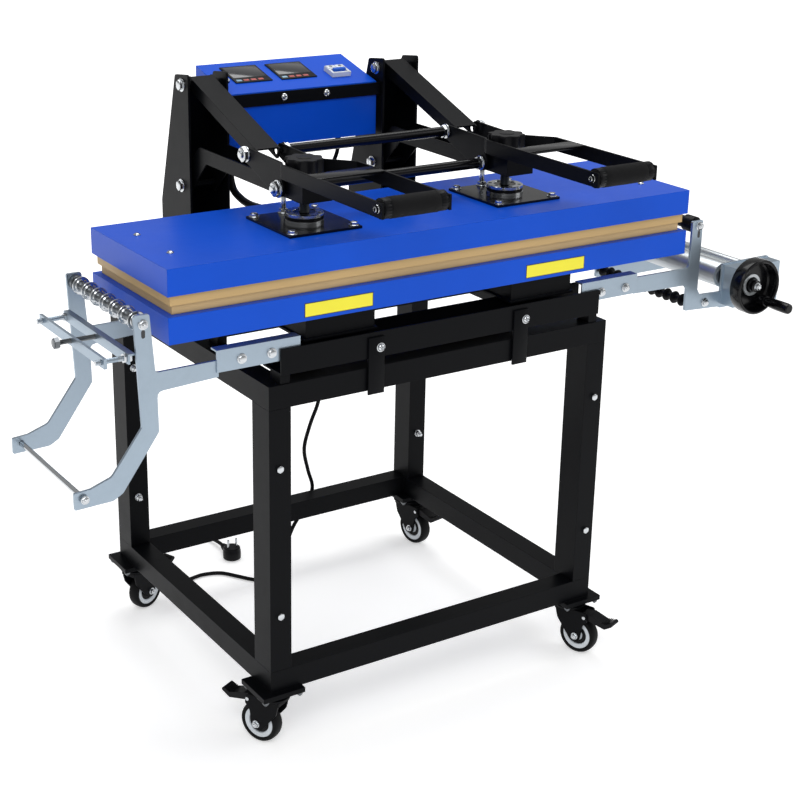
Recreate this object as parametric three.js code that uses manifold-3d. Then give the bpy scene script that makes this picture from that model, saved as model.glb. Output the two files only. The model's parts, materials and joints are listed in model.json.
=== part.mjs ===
// Dual-handle long-platen clamshell heat press on a caster stand, with a strap feeder at the left end
// and a hand-cranked take-up winder at the right end. Millimetres, +Z up, floor at z = 0.
// Inside the model X runs along the platens, Y to the back and y = 0 is the middle of the platens;
// the finished group is shifted so that its origin is the bottom centre of its own box.
import * as THREE from "three";
import { mergeVertices } from "three/addons/utils/BufferGeometryUtils.js";
import Module from "manifold-3d";

const wasm = await Module();
wasm.setup();

// ---------- driving dimensions ----------
const GAP = 0.3; // air between neighbouring pieces

const PLATEN = {
  halfX: 517.5,
  halfY: 140.5,
  wall: 2.5,
  lowBottom: 769,
  lowTop: 812,
  upBottom: 844,
  upTop: 887,
};
const PAD = { halfX: 506, halfY: 129, top: 827 };
const HEATER = { halfX: 511, halfY: 134 };

const STAND = {
  halfX: 345,
  front: -135,
  rear: 480,
  top: 668,
  foot: 116,
  rail: 40,
  legX: 40,
  legY: 56,
  wall: 3,
};
const STUB = 130; // length of the stubs that the legs slip over
const FOOT_PLATE = 80;
const FOOT_THICK = 8;

const UNIT_X = 204; // each press unit stands this far from the middle
const UPRIGHT = {
  half: 40,
  plate: 4,
  front: 333,
  topRear: 384,
  baseRear: 452,
  bend: 835,
  top: 1082,
  round: 6,
};
const BASE = { half: 65, lip: 4, wall: 4, top: 768.5, bottom: 728.3, front: -120, rear: 460 };
const REAR_FOOT = { half: 30, front: 428, rear: 458 };
const CROSSBAR = {
  halfX: 323.5,
  top: 728,
  bottom: 684,
  depth: 60,
  wall: 3,
  front: -137,
  rearFront: 77,
  packer: 18,
};

const PIVOT_A = { y: 357, z: 1061 }; // top link on the upright
const PIVOT_B = { y: 128, z: 980 }; // top link on the handle
const PIVOT_C = { y: 20, z: 943 }; // handle on the main arm
const PIVOT_D = { y: 367, z: 878 }; // main arm on the upright

const ARM = {
  half: 28,
  wall: 3,
  bottom: 930,
  top: 956,
  blockTop: 960,
  front: -46,
  crank: 292,
  floorFront: 70,
  floorRear: 215,
};
const LINK = { half: 23, wall: 3, depth: 22, end: 11 };
const HANDLE = { inner: 31, plate: 4, barBottom: 964, barTop: 988, jogY: 12, gripY: -287, gripZ: 977 };
const HANDLE_OUT_LEFT = 42; // outer face of the straight bar, from the unit's middle
const HANDLE_OUT_RIGHT = 82; // outer face of the bar that steps outwards
const GRIP_R = 16;
const GRIP_BOLT_R = 7;
const STRAP = { front: -118, rear: -82, thick: 4 }; // flat strap between the two bars of a handle
const PIN_R = 6;
const PIN_HEAD_R = 11;
const ROD_R = 9;
const SPINDLE_R = 8.5;
const SPINDLE_Y = -4;
const KNOB = { r: 32, bottom: 970, top: 996, lobes: 8, wave: 2.5 };
const LOCK_PLATE = { left: -70, right: 65, front: -79, rear: 67, thick: 4, ringR: 32, ringTop: 906 };
const STUD = { x: -4, y: 58, r: 4, top: 922 };

const BOX = { halfX: 157, front: 345.3, rear: 475, bottom: 938, frontTop: 1038, rearTop: 1072, wall: 2 };
const TIE = { front: 341, bottom: 1013, top: 1036 };
// along the sloped panel from its front edge
const BREAKER = {
  x: 99,
  half: 20,
  from: 32,
  to: 66,
  high: 9,
  slotHalf: 15,
  slotFrom: 37,
  slotTo: 51,
  slotDeep: 6,
};

const WHEEL = { r: 37.5, half: 11.7, axleR: 4, trail: 24.4, hubR: 11 };
const FORK = { inner: 14, plate: 3, raceR: 26, raceTop: 107.7, raceBottom: 90 };
const CASTERS = [
  { name: "front_left", sx: -1, y: "front", turn: 243.6 },
  { name: "front_right", sx: 1, y: "front", turn: 69.3 },
  { name: "rear_left", sx: -1, y: "rear", turn: 338 },
  { name: "rear_right", sx: 1, y: "rear", turn: 79.4 },
];

const SIDE_Y = 130; // outer faces of the feeder's and winder's plates
const SIDE_T = 5;
const FEED_ROLL = { x: -554, z: 805, r: 8, ringR: 15, rings: 7 };
const SUPPLY = { x: -660, z: 547, r: 4.5 };
const CLAMP = {
  z: 752.5,
  half: 8,
  thick: 3,
  flange: 8,
  innerX: -574,
  stripX: -617,
  stripHalfY: 127,
  stripThick: 5,
  rodY: 115,
  rodR: 4,
  screwR: 4,
  headX: -644,
  headR: 9,
};
const TAKEUP = { x: 640, z: 705.5, r: 23.5, shaftR: 6 };
const WINCH = {
  r: 52,
  rim: 7,
  web: 4,
  hubR: 9,
  front: -216,
  back: -190,
  gripX: 22,
  gripZ: -30,
  bossR: 10,
  pinR: 3,
  gripR: 10,
  gripEnd: -272,
};
const BEARING = { x0: 631, x1: 745, front: -162, z0: 653, z1: 729, wall: 3 };
const IDLER = { x: 715, z: 709, r: 8 };
const TOP_ROLL = { x: 559.5, z: 812.5, r: 12, collarR: 15, collarLong: 26, pinR: 4.5 };

const CABLE_R = 7;
const LEAD_R = 4;
const GLAND = { x: 128, y: 436, r: 9, length: 22 };
const PLUG = { x: -54, y: 562, halfX: 18, halfY: 20, high: 27, pinR: 2.4, pinHigh: 19, pinGap: 19 };

// The heater cable's route, from under the control box to the back of the upper housing.
const CABLE_ROUTE = [
  [-148, 364, 937.6], [-148, 364, 912], [-148, 361, 885], [-149, 348, 864], [-151, 312, 853],
  [-155, 272, 852], [-160, 234, 856], [-168, 198, 861], [-176, 170, 865], [-180, 154, 866],
  [-180, 140.8, 866],
];

// The mains lead's route, from the gland down behind the stand and along the floor to the plug.
const LEAD_ROUTE = [
  [128, 436, 915.4], [127, 436, 890], [110, 445, 845], [98, 476, 800], [100, 496, 745], [108, 504, 690],
  [118, 504, 600], [128, 502, 500], [132, 500, 410], [124, 500, 345], [105, 500, 299], [90, 500, 245],
  [99, 500, 195], [110, 500, 150], [90, 500, 108], [60, 496, 72], [32, 480, 36], [8, 456, 10],
  [-18, 430, 4.3], [-46, 420, 4.3], [-70, 440, 4.3], [-90, 474, 4.3], [-112, 503, 4.3], [-148, 515, 4.3],
  [-186, 510, 4.3], [-222, 516, 4.3], [-248, 540, 4.3], [-258, 576, 4.3], [-252, 620, 4.3], [-228, 664, 4.3],
  [-188, 698, 4.3], [-140, 712, 4.3], [-96, 704, 4.3], [-66, 676, 5.5], [-55, 644, 9.5], [-54, 618, 12],
  [-54, 592.6, 12],
];

// ---------- colours ----------
const coat = (color, roughness, metalness) => new THREE.MeshStandardMaterial({ color, roughness, metalness });
const BLUE = coat(0x2258d6, 0.35, 0.1);
const BLACK = coat(0x14161a, 0.45, 0.2);
const ROD_BLACK = coat(0x0b0c0e, 0.15, 0.6);
const ZINC = coat(0xa9bccb, 0.35, 0.8);
const CHROME = coat(0xd0d4d8, 0.15, 1.0);
const ALUMINIUM = coat(0xc2c8cc, 0.35, 0.9);
const TAN = coat(0xd9bc85, 0.7, 0.0);
const GOLD = coat(0xcfae74, 0.5, 0.3);
const RUBBER = coat(0x0f1012, 0.8, 0.0);
const PLASTIC = coat(0x15161a, 0.4, 0.0);
const WHITE = coat(0xe9ebee, 0.4, 0.0);

// ---------- geometry helpers ----------
const model = new THREE.Group();

function toSolid(geometry) {
  const bare = geometry.clone();
  bare.deleteAttribute("normal");
  bare.deleteAttribute("uv");
  const merged = mergeVertices(bare, 1e-4);
  const vertProperties = new Float32Array(merged.attributes.position.array);
  const triVerts = new Uint32Array(merged.index.array);
  return new wasm.Manifold(new wasm.Mesh({ numProp: 3, vertProperties, triVerts }));
}

function toGeometry(solid) {
  const mesh = solid.getMesh();
  const geometry = new THREE.BufferGeometry();
  geometry.setAttribute("position", new THREE.BufferAttribute(new Float32Array(mesh.vertProperties), 3));
  geometry.setIndex(new THREE.BufferAttribute(new Uint32Array(mesh.triVerts), 1));
  return geometry;
}

const span = (middle, a, b) => [middle + Math.min(a, b), middle + Math.max(a, b)];
const join = (...parts) => toGeometry(parts.map(toSolid).reduce((a, b) => a.add(b)));
const cut = (base, ...tools) => toGeometry(tools.map(toSolid).reduce((a, b) => a.subtract(b), toSolid(base)));

function node(name, geometry, material) {
  const mesh = new THREE.Mesh(geometry, material);
  mesh.name = name;
  model.add(mesh);
  return mesh;
}

function block(x0, x1, y0, y1, z0, z1) {
  const box = new THREE.BoxGeometry(x1 - x0, y1 - y0, z1 - z0);
  return box.translate((x0 + x1) / 2, (y0 + y1) / 2, (z0 + z1) / 2);
}

// A round bar along X, Y or Z between two values on that axis; at holds the other two coordinates in order.
function bar(axis, r, at, from, to, sides = 16) {
  const rod = new THREE.CylinderGeometry(r, r, to - from, sides);
  const middle = (from + to) / 2;
  if (axis === "x") return rod.rotateZ(Math.PI / 2).translate(middle, at[0], at[1]);
  if (axis === "y") return rod.translate(at[0], middle, at[1]);
  return rod.rotateX(Math.PI / 2).translate(at[0], at[1], middle);
}

// A plate whose outline is drawn in (y, z) and that runs from x0 to x1.
function plateAlongX(shape, x0, x1, curveSegments = 3) {
  const plate = new THREE.ExtrudeGeometry(shape, { depth: x1 - x0, bevelEnabled: false, curveSegments });
  const basis = new THREE.Matrix4().makeBasis(
    new THREE.Vector3(0, 1, 0),
    new THREE.Vector3(0, 0, 1),
    new THREE.Vector3(1, 0, 0),
  );
  return plate.applyMatrix4(basis).translate(x0, 0, 0);
}

// A plate whose outline is drawn in (x, z) and that runs from y0 to y1.
function plateAlongY(shape, y0, y1, curveSegments = 3) {
  const plate = new THREE.ExtrudeGeometry(shape, { depth: y1 - y0, bevelEnabled: false, curveSegments });
  return plate.rotateX(Math.PI / 2).translate(0, y1, 0);
}

// An outline through corner points, each rounded by its own radius (third number, 0 if left out).
function rounded(points) {
  const shape = new THREE.Shape();
  const count = points.length;
  points.forEach(([x, y, r = 0], i) => {
    const here = new THREE.Vector2(x, y);
    const before = new THREE.Vector2(...points[(i + count - 1) % count].slice(0, 2)).sub(here);
    const after = new THREE.Vector2(...points[(i + 1) % count].slice(0, 2)).sub(here);
    const half = Math.acos(before.clone().normalize().dot(after.clone().normalize())) / 2;
    const back = r / Math.tan(half);
    const start = here.clone().add(before.setLength(back || 1e-9));
    const end = here.clone().add(after.setLength(back || 1e-9));
    if (i === 0) shape.moveTo(start.x, start.y);
    else shape.lineTo(start.x, start.y);
    if (r > 0) shape.quadraticCurveTo(x, y, end.x, end.y);
  });
  shape.closePath();
  return shape;
}

function holeIn(shape, x, y, r) {
  const hole = new THREE.Path();
  const sides = 14;
  const corner = r / Math.cos(Math.PI / sides); // the flats of the hole stand at r
  for (let i = 0; i < sides; i++) {
    const turn = (-2 * Math.PI * i) / sides;
    const [hx, hy] = [x + corner * Math.cos(turn), y + corner * Math.sin(turn)];
    if (i === 0) hole.moveTo(hx, hy);
    else hole.lineTo(hx, hy);
  }
  hole.closePath();
  shape.holes.push(hole);
  return shape;
}

// A body of revolution about the Y direction through (x, z); the profile holds [radius, y] pairs.
function turnedAlongY(profile, x, z, sides = 20) {
  const points = profile.map(([r, y]) => new THREE.Vector2(r, y));
  return new THREE.LatheGeometry(points, sides).translate(x, 0, z);
}

function turnedAlongZ(profile, x, y, sides = 20) {
  const points = profile.map(([r, z]) => new THREE.Vector2(r, z));
  return new THREE.LatheGeometry(points, sides).rotateX(Math.PI / 2).translate(x, y, 0);
}

function tube(route, r, steps, sides) {
  const curve = new THREE.CatmullRomCurve3(route.map((p) => new THREE.Vector3(...p)), false, "centripetal");
  const section = new THREE.Shape();
  for (let i = 0; i < sides; i++) {
    const turn = (2 * Math.PI * i) / sides;
    if (i === 0) section.moveTo(r, 0);
    else section.lineTo(r * Math.cos(turn), r * Math.sin(turn));
  }
  section.closePath();
  return new THREE.ExtrudeGeometry(section, { steps, extrudePath: curve, bevelEnabled: false });
}

// ---------- stand ----------
function standRing(z0, z1) {
  const outer = block(-STAND.halfX, STAND.halfX, STAND.front, STAND.rear, z0, z1);
  const inner = block(
    -STAND.halfX + STAND.rail,
    STAND.halfX - STAND.rail,
    STAND.front + STAND.rail,
    STAND.rear - STAND.rail,
    z0 - 1,
    z1 + 1,
  );
  return cut(outer, inner);
}

const LEG_Y = { front: STAND.front + STAND.legY / 2, rear: STAND.rear - STAND.legY / 2 };
const legCentres = CASTERS.map(({ name, sx, y }) => {
  return { name, x: sx * (STAND.halfX - STAND.legX / 2), y: LEG_Y[y] };
});

function legStub(leg, z0, z1) {
  const halfX = STAND.legX / 2 - STAND.wall - 0.5;
  const halfY = STAND.legY / 2 - STAND.wall - 0.5;
  return block(leg.x - halfX, leg.x + halfX, leg.y - halfY, leg.y + halfY, z0, z1);
}

function buildStand() {
  const topBottom = STAND.top - STAND.rail;
  const ringTop = STAND.foot + STAND.rail;
  const topStubs = legCentres.map((leg) => legStub(leg, topBottom - STUB, topBottom + 1));
  node("stand_top_frame", join(standRing(topBottom, STAND.top), ...topStubs), BLACK);
  const lowStubs = legCentres.map((leg) => legStub(leg, ringTop - 1, ringTop + STUB));
  const half = FOOT_PLATE / 2;
  const [plateBottom, plateTop] = [STAND.foot - FOOT_THICK, STAND.foot + 1];
  const plates = legCentres.map(({ x, y }) => {
    return block(x - half, x + half, y - half, y + half, plateBottom, plateTop);
  });
  node("stand_bottom_frame", join(standRing(STAND.foot, ringTop), ...lowStubs, ...plates), BLACK);
  for (const leg of legCentres) node(`leg_${leg.name}`, legTube(leg, ringTop + GAP, topBottom - GAP), BLACK);
}

function legTube(leg, z0, z1) {
  const hx = STAND.legX / 2;
  const hy = STAND.legY / 2;
  const outer = block(leg.x - hx, leg.x + hx, leg.y - hy, leg.y + hy, z0, z1);
  const wx = hx - STAND.wall;
  const wy = hy - STAND.wall;
  return cut(outer, block(leg.x - wx, leg.x + wx, leg.y - wy, leg.y + wy, z0 - 1, z1 + 1));
}

// ---------- casters ----------
// Drawn with the swivel axis on Z, the wheel trailing along +X and the axle along Y, then turned into place.
function placeCaster(geometry, caster) {
  const leg = legCentres.find((l) => l.name === caster.name);
  return geometry.rotateZ(-THREE.MathUtils.degToRad(caster.turn)).translate(leg.x, leg.y, 0);
}

function forkGeometry() {
  const outline = rounded([
    [-22, 91, 4],
    [-16, 66, 12],
    [WHEEL.trail - 9, 26, 9],
    [WHEEL.trail + 9, 26, 9],
    [WHEEL.trail + 14, 62, 10],
    [48, 73, 4],
    [46, 91, 4],
  ]);
  const outer = FORK.inner + FORK.plate;
  const cheek = plateAlongY(outline, FORK.inner, outer, 2);
  const otherCheek = plateAlongY(outline, -outer, -FORK.inner, 2);
  const crown = block(-22, 26, -outer, outer, 84, 91);
  const race = bar("z", FORK.raceR, [0, 0], FORK.raceBottom, FORK.raceTop, 18);
  const axle = bar("y", WHEEL.axleR, [WHEEL.trail, WHEEL.r], -outer - 4, outer + 4, 12);
  return join(cheek, otherCheek, crown, race, axle);
}

function wheelGeometry() {
  const h = WHEEL.half;
  const bore = WHEEL.axleR + 0.4;
  const profile = [
    [bore, -h - 1], [WHEEL.hubR, -h - 1], [WHEEL.hubR + 2, -h + 4], [WHEEL.r - 8, -h + 4], [WHEEL.r - 6, -h],
    [WHEEL.r - 2, -h], [WHEEL.r, -h + 4], [WHEEL.r, h - 4], [WHEEL.r - 2, h], [WHEEL.r - 6, h],
    [WHEEL.r - 8, h - 4], [WHEEL.hubR + 2, h - 4], [WHEEL.hubR, h + 1], [bore, h + 1], [bore, -h - 1],
  ];
  return turnedAlongY(profile, WHEEL.trail, WHEEL.r, 20);
}

function pedalGeometry() {
  const outline = rounded([
    [33, 88, 3],
    [33, 79, 3],
    [48, 76, 2],
    [84, 69, 3],
    [101, 80, 3],
    [97, 86, 3],
    [84, 79, 3],
    [52, 89, 4],
  ]);
  return plateAlongY(outline, -FORK.inner + 1, FORK.inner - 1, 2);
}

function buildCasters() {
  for (const caster of CASTERS) {
    node(`caster_fork_${caster.name}`, placeCaster(forkGeometry(), caster), BLACK);
    node(`caster_wheel_${caster.name}`, placeCaster(wheelGeometry(), caster), RUBBER);
    node(`brake_pedal_${caster.name}`, placeCaster(pedalGeometry(), caster), PLASTIC);
  }
}

// ---------- press base, uprights and crossbars ----------
function crossbar(front) {
  const { halfX, depth, bottom, top, wall: w } = CROSSBAR;
  const outer = block(-halfX, halfX, front, front + depth, bottom, top);
  const hollow = block(-halfX - 1, halfX + 1, front + w, front + depth - w, bottom + w, top + 1);
  const packers = [-1, 1].map((s) => {
    const [x0, x1] = [s * (halfX - CROSSBAR.packer), s * halfX].sort((p, q) => p - q);
    return block(x0, x1, front + 4, front + depth - 24, STAND.top + GAP, bottom + 1);
  });
  return join(cut(outer, hollow), ...packers);
}

function uprightOutline() {
  return rounded([
    [UPRIGHT.front, UPRIGHT.top, UPRIGHT.round],
    [UPRIGHT.front, BASE.bottom],
    [UPRIGHT.baseRear, BASE.bottom],
    [UPRIGHT.baseRear, UPRIGHT.bend],
    [UPRIGHT.topRear, UPRIGHT.top - 6, UPRIGHT.round],
  ]);
}

function uprightWeb() {
  return rounded([
    [UPRIGHT.baseRear - 1, BASE.bottom],
    [UPRIGHT.baseRear - 1, UPRIGHT.bend],
    [UPRIGHT.topRear - 1, UPRIGHT.top - 20],
    [UPRIGHT.topRear - 5, UPRIGHT.top - 20],
    [UPRIGHT.baseRear - 5, UPRIGHT.bend - 1],
    [UPRIGHT.baseRear - 5, BASE.bottom],
  ]);
}

function baseBeam(ux) {
  const { half, lip, wall, top, bottom, front, rear } = BASE;
  const beam = block(ux - half, ux + half, front, rear, bottom, top);
  const inside = block(ux - half + wall, ux + half - wall, front + wall, rear + 1, bottom + wall, top - wall);
  const flange = block(ux - half - lip, ux + half + lip, front - lip, rear - 1, bottom, bottom + lip);
  return [cut(beam, inside), flange];
}

function pressFrame(ux) {
  const parts = baseBeam(ux);
  for (const side of [-1, 1]) {
    const inner = side * (UPRIGHT.half - UPRIGHT.plate);
    const outer = side * UPRIGHT.half;
    parts.push(plateAlongX(uprightOutline(), ux + Math.min(inner, outer), ux + Math.max(inner, outer)));
  }
  const half = UPRIGHT.half - 0.5;
  parts.push(plateAlongX(uprightWeb(), ux - half, ux + half));
  for (const pivot of [PIVOT_A, PIVOT_D])
    parts.push(bar("x", PIN_R, [pivot.y, pivot.z], ux - half, ux + half));
  const foot = REAR_FOOT;
  const floor = STAND.top + GAP;
  parts.push(block(ux - foot.half, ux + foot.half, foot.front, foot.rear, floor, BASE.bottom + 1));
  return join(...parts);
}

function buildPressBase() {
  node("crossbar_front", crossbar(CROSSBAR.front), BLACK);
  node("crossbar_rear", crossbar(CROSSBAR.rearFront), BLACK);
  node("press_frame_left", pressFrame(-UNIT_X), BLACK);
  node("press_frame_right", pressFrame(UNIT_X), BLACK);
  const reach = UNIT_X - UPRIGHT.half - GAP;
  node("tie_bar", block(-reach, reach, TIE.front, BOX.front - GAP, TIE.bottom, TIE.top), BLACK);
}

// ---------- platens ----------
function tray(bottom, top) {
  const outer = block(-PLATEN.halfX, PLATEN.halfX, -PLATEN.halfY, PLATEN.halfY, bottom, top);
  const wx = PLATEN.halfX - PLATEN.wall;
  const wy = PLATEN.halfY - PLATEN.wall;
  return cut(outer, block(-wx, wx, -wy, wy, bottom - 1, top - PLATEN.wall));
}

function buildPlatens() {
  node("lower_housing", tray(PLATEN.lowBottom, PLATEN.lowTop), BLUE);
  node("lower_pad", block(-PAD.halfX, PAD.halfX, -PAD.halfY, PAD.halfY, PLATEN.lowTop + GAP, PAD.top), TAN);
  node("upper_housing", tray(PLATEN.upBottom, PLATEN.upTop), BLUE);
  const heaterTop = PLATEN.upBottom - GAP;
  const heater = block(-HEATER.halfX, HEATER.halfX, -HEATER.halfY, HEATER.halfY, PAD.top + GAP, heaterTop);
  node("heating_plate", heater, GOLD);
}

function lockPlate(ux) {
  const z0 = PLATEN.upTop + GAP;
  const z1 = z0 + LOCK_PLATE.thick;
  const { left, right, front, rear } = LOCK_PLATE;
  const plate = block(ux + left, ux + right, front, rear, z0, z1);
  const ring = bar("z", LOCK_PLATE.ringR, [ux, SPINDLE_Y], z1 - 1, LOCK_PLATE.ringTop, 24);
  const stud = bar("z", STUD.r, [ux + STUD.x, STUD.y], z1 - 1, STUD.top, 12);
  const bore = bar("z", SPINDLE_R + 0.5, [ux, SPINDLE_Y], z1, LOCK_PLATE.ringTop + 1, 16);
  return cut(join(plate, ring, stud), bore);
}

// ---------- main arms, links and handles ----------
function armOutline() {
  return rounded([
    [ARM.front, ARM.bottom],
    [ARM.crank, ARM.bottom, 10],
    [PIVOT_D.y - 16, PIVOT_D.z - 6, 10],
    [PIVOT_D.y - 4, PIVOT_D.z - 18, 10],
    [PIVOT_D.y + 16, PIVOT_D.z - 8, 12],
    [PIVOT_D.y + 14, PIVOT_D.z + 18, 10],
    [ARM.crank + 26, ARM.top, 14],
    [18, ARM.top],
    [16, ARM.blockTop],
    [ARM.front, ARM.blockTop],
  ]);
}

function mainArm(ux) {
  const h = ARM.half;
  const inside = h - ARM.wall;
  const outline = holeIn(armOutline(), PIVOT_D.y, PIVOT_D.z, PIN_R + 0.4);
  const cheeks = [plateAlongX(outline, ux - h, ux - inside), plateAlongX(outline, ux + inside, ux + h)];
  const parts = [...cheeks];
  for (const [y0, y1] of [
    [ARM.front, ARM.floorFront],
    [ARM.floorRear, ARM.crank - 12],
  ])
    parts.push(block(ux - h + 1, ux + h - 1, y0, y1, ARM.bottom, ARM.bottom + ARM.wall));
  parts.push(block(ux - h + 1, ux + h - 1, ARM.front, ARM.front + ARM.wall, ARM.bottom, ARM.blockTop));
  parts.push(block(ux - h + 1, ux + h - 1, ARM.front, 15, ARM.blockTop - ARM.wall, ARM.blockTop));
  parts.push(bar("z", 17, [ux, SPINDLE_Y], ARM.bottom, ARM.blockTop - 1, 16));
  const out = ux < 0 ? -1 : 1; // the outer side takes a headed pin, the inner side takes the cross rod
  const pinEnd = HANDLE.inner + HANDLE.plate + 1;
  parts.push(bar("x", PIN_R, [PIVOT_C.y, PIVOT_C.z], ...span(ux, out * (inside + 1), out * pinEnd)));
  parts.push(bar("x", PIN_HEAD_R, [PIVOT_C.y, PIVOT_C.z], ...span(ux, out * pinEnd, out * (pinEnd + 7))));
  const screwBore = bar("z", SPINDLE_R + 0.4, [ux, SPINDLE_Y], ARM.bottom - 1, ARM.blockTop + 1, 16);
  return cut(join(...parts), screwBore);
}

// A shallow channel from pivot A to pivot B, drawn along +Y and turned until its web is on top.
function topLink(ux) {
  const dy = PIVOT_B.y - PIVOT_A.y;
  const dz = PIVOT_B.z - PIVOT_A.z;
  const length = Math.hypot(dy, dz);
  const [a, d] = [LINK.end, LINK.depth / 2];
  const side = rounded([
    [-a, -d, 3],
    [length + a, -d, 3],
    [length + a, d, 6],
    [-a, d, 6],
  ]);
  holeIn(side, 0, 0, PIN_R + 0.4);
  holeIn(side, length, 0, PIN_R + 0.4);
  const cheeks = [plateAlongX(side, -LINK.half, -LINK.half + LINK.wall)];
  cheeks.push(plateAlongX(side, LINK.half - LINK.wall, LINK.half));
  const web = block(-LINK.half + 1, LINK.half - 1, -a + 4, length + a - 4, -d, -d + LINK.wall);
  return join(...cheeks, web).rotateX(Math.atan2(dz, dy)).translate(ux, PIVOT_A.y, PIVOT_A.z);
}

function crankOutline() {
  return rounded([
    [HANDLE.jogY, HANDLE.barTop],
    [HANDLE.jogY, HANDLE.barBottom],
    [PIVOT_C.y - 16, PIVOT_C.z + 8, 6],
    [PIVOT_C.y - 13, PIVOT_C.z - 12, 8],
    [PIVOT_C.y + 12, PIVOT_C.z - 13, 10],
    [PIVOT_B.y + 11, PIVOT_B.z - 10.5, 12],
    [PIVOT_B.y + 12, PIVOT_B.z + 12, 10],
    [PIVOT_B.y - 14, HANDLE.barTop + 3, 8],
  ]);
}

// A flat bar seen from above: it steps sideways from x0 to x1 between y0 and y1, then runs to the grip.
function steppedBar(ux, x0, x1, yStep) {
  const t = HANDLE.plate;
  const y0 = HANDLE.jogY + 1;
  const shape = rounded([
    [x0, y0],
    [x1, yStep],
    [x1, HANDLE.gripY - 14],
    [x1 + t, HANDLE.gripY - 14],
    [x1 + t, yStep],
    [x0 + t, y0],
  ]);
  const depth = HANDLE.barTop - HANDLE.barBottom;
  const bent = new THREE.ExtrudeGeometry(shape, { depth, bevelEnabled: false });
  return bent.translate(ux, 0, HANDLE.barBottom);
}

function handle(ux) {
  const [i, t] = [HANDLE.inner, HANDLE.plate];
  const out = ux < 0 ? -1 : 1;
  const parts = [];
  for (const side of [-1, 1]) {
    const boreR = side === out ? PIN_R + 0.4 : ROD_R + 0.4; // headed pin outside, cross rod inside
    const crank = holeIn(crankOutline(), PIVOT_C.y, PIVOT_C.z, boreR);
    parts.push(plateAlongX(crank, ...span(ux, side * i, side * (i + t))));
    // The pin at B stops short of the arm's cheek, which swings past it as the press opens.
    const stub = span(ux, side * (ARM.half + 0.6), side * (i + 1));
    parts.push(bar("x", PIN_R, [PIVOT_B.y, PIVOT_B.z], ...stub));
  }
  parts.push(steppedBar(ux, -i - t, -HANDLE_OUT_LEFT, HANDLE.jogY - 14));
  parts.push(steppedBar(ux, i, HANDLE_OUT_RIGHT - t, HANDLE.jogY - 52));
  const [left, right] = [ux - HANDLE_OUT_LEFT, ux + HANDLE_OUT_RIGHT];
  const strapTop = HANDLE.barTop - 1;
  parts.push(block(left + 1, right - 1, STRAP.front, STRAP.rear, strapTop - STRAP.thick, strapTop));
  parts.push(bar("x", GRIP_R, [HANDLE.gripY, HANDLE.gripZ], left + t + 1, right - t - 1, 20));
  parts.push(bar("x", GRIP_BOLT_R, [HANDLE.gripY, HANDLE.gripZ], left - 4, right + 4, 12));
  parts.push(bar("x", PIN_HEAD_R, [PIVOT_B.y, PIVOT_B.z], ...span(ux, out * (i + t - 1), out * (i + t + 8))));
  return join(...parts);
}

function spindle(ux) {
  const foot = PLATEN.upTop + GAP + LOCK_PLATE.thick + GAP;
  const screw = bar("z", SPINDLE_R, [ux, SPINDLE_Y], foot, KNOB.bottom + 1, 16);
  const shape = new THREE.Shape();
  const steps = KNOB.lobes * 5;
  for (let k = 0; k < steps; k++) {
    const turn = (2 * Math.PI * k) / steps;
    const r = KNOB.r - KNOB.wave + KNOB.wave * Math.cos(turn * KNOB.lobes);
    if (k === 0) shape.moveTo(r, 0);
    else shape.lineTo(r * Math.cos(turn), r * Math.sin(turn));
  }
  shape.closePath();
  const knob = new THREE.ExtrudeGeometry(shape, { depth: KNOB.top - KNOB.bottom, bevelEnabled: false });
  return join(screw, knob.translate(ux, SPINDLE_Y, KNOB.bottom));
}

function buildMechanism() {
  for (const [side, ux] of [["left", -UNIT_X], ["right", UNIT_X]]) {
    node(`main_arm_${side}`, mainArm(ux), BLACK);
    node(`top_link_${side}`, topLink(ux), BLACK);
    node(`handle_${side}`, handle(ux), BLACK);
    node(`pressure_spindle_${side}`, spindle(ux), PLASTIC);
    node(`lock_plate_${side}`, lockPlate(ux), ROD_BLACK);
  }
  const lower = UNIT_X - ARM.half - GAP;
  node("cross_rod_lower", bar("x", ROD_R, [PIVOT_C.y, PIVOT_C.z], -lower, lower), ROD_BLACK);
  const upper = UNIT_X - HANDLE.inner - HANDLE.plate - GAP;
  node("cross_rod_upper", bar("x", ROD_R, [PIVOT_B.y, PIVOT_B.z], -upper, upper), ROD_BLACK);
}

// ---------- control box ----------
const PANEL_TILT = Math.atan2(BOX.rearTop - BOX.frontTop, BOX.rear - BOX.front);

function buildControlBox() {
  const outline = rounded([
    [BOX.front, BOX.bottom],
    [BOX.front, BOX.frontTop],
    [BOX.rear, BOX.rearTop],
    [BOX.rear, BOX.bottom],
  ]);
  const w = BOX.wall;
  const inside = rounded([
    [BOX.front + w, BOX.bottom + w],
    [BOX.front + w, BOX.frontTop - w],
    [BOX.rear + 1, BOX.rearTop - w],
    [BOX.rear + 1, BOX.bottom + w],
  ]);
  const shell = plateAlongX(outline, -BOX.halfX, BOX.halfX);
  node("control_box", cut(shell, plateAlongX(inside, -BOX.halfX + w, BOX.halfX - w)), BLUE);
  const onPanel = (geometry) => geometry.rotateX(PANEL_TILT).translate(0, BOX.front, BOX.frontTop);
  const [x0, x1] = [BREAKER.x - BREAKER.half, BREAKER.x + BREAKER.half];
  const body = block(x0, x1, BREAKER.from, BREAKER.to, GAP, BREAKER.high);
  const { x, high, slotHalf, slotFrom, slotTo, slotDeep } = BREAKER;
  const slot = block(x - slotHalf, x + slotHalf, slotFrom, slotTo, high - slotDeep, high + 1);
  node("breaker_body", onPanel(cut(body, slot)), WHITE);
  const leverHalf = slotHalf - 2;
  const lever = block(x - leverHalf, x + leverHalf, slotFrom + 4, slotTo - 4, high - 4, high + 4);
  node("breaker_toggle", onPanel(lever), BLUE);
}

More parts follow.
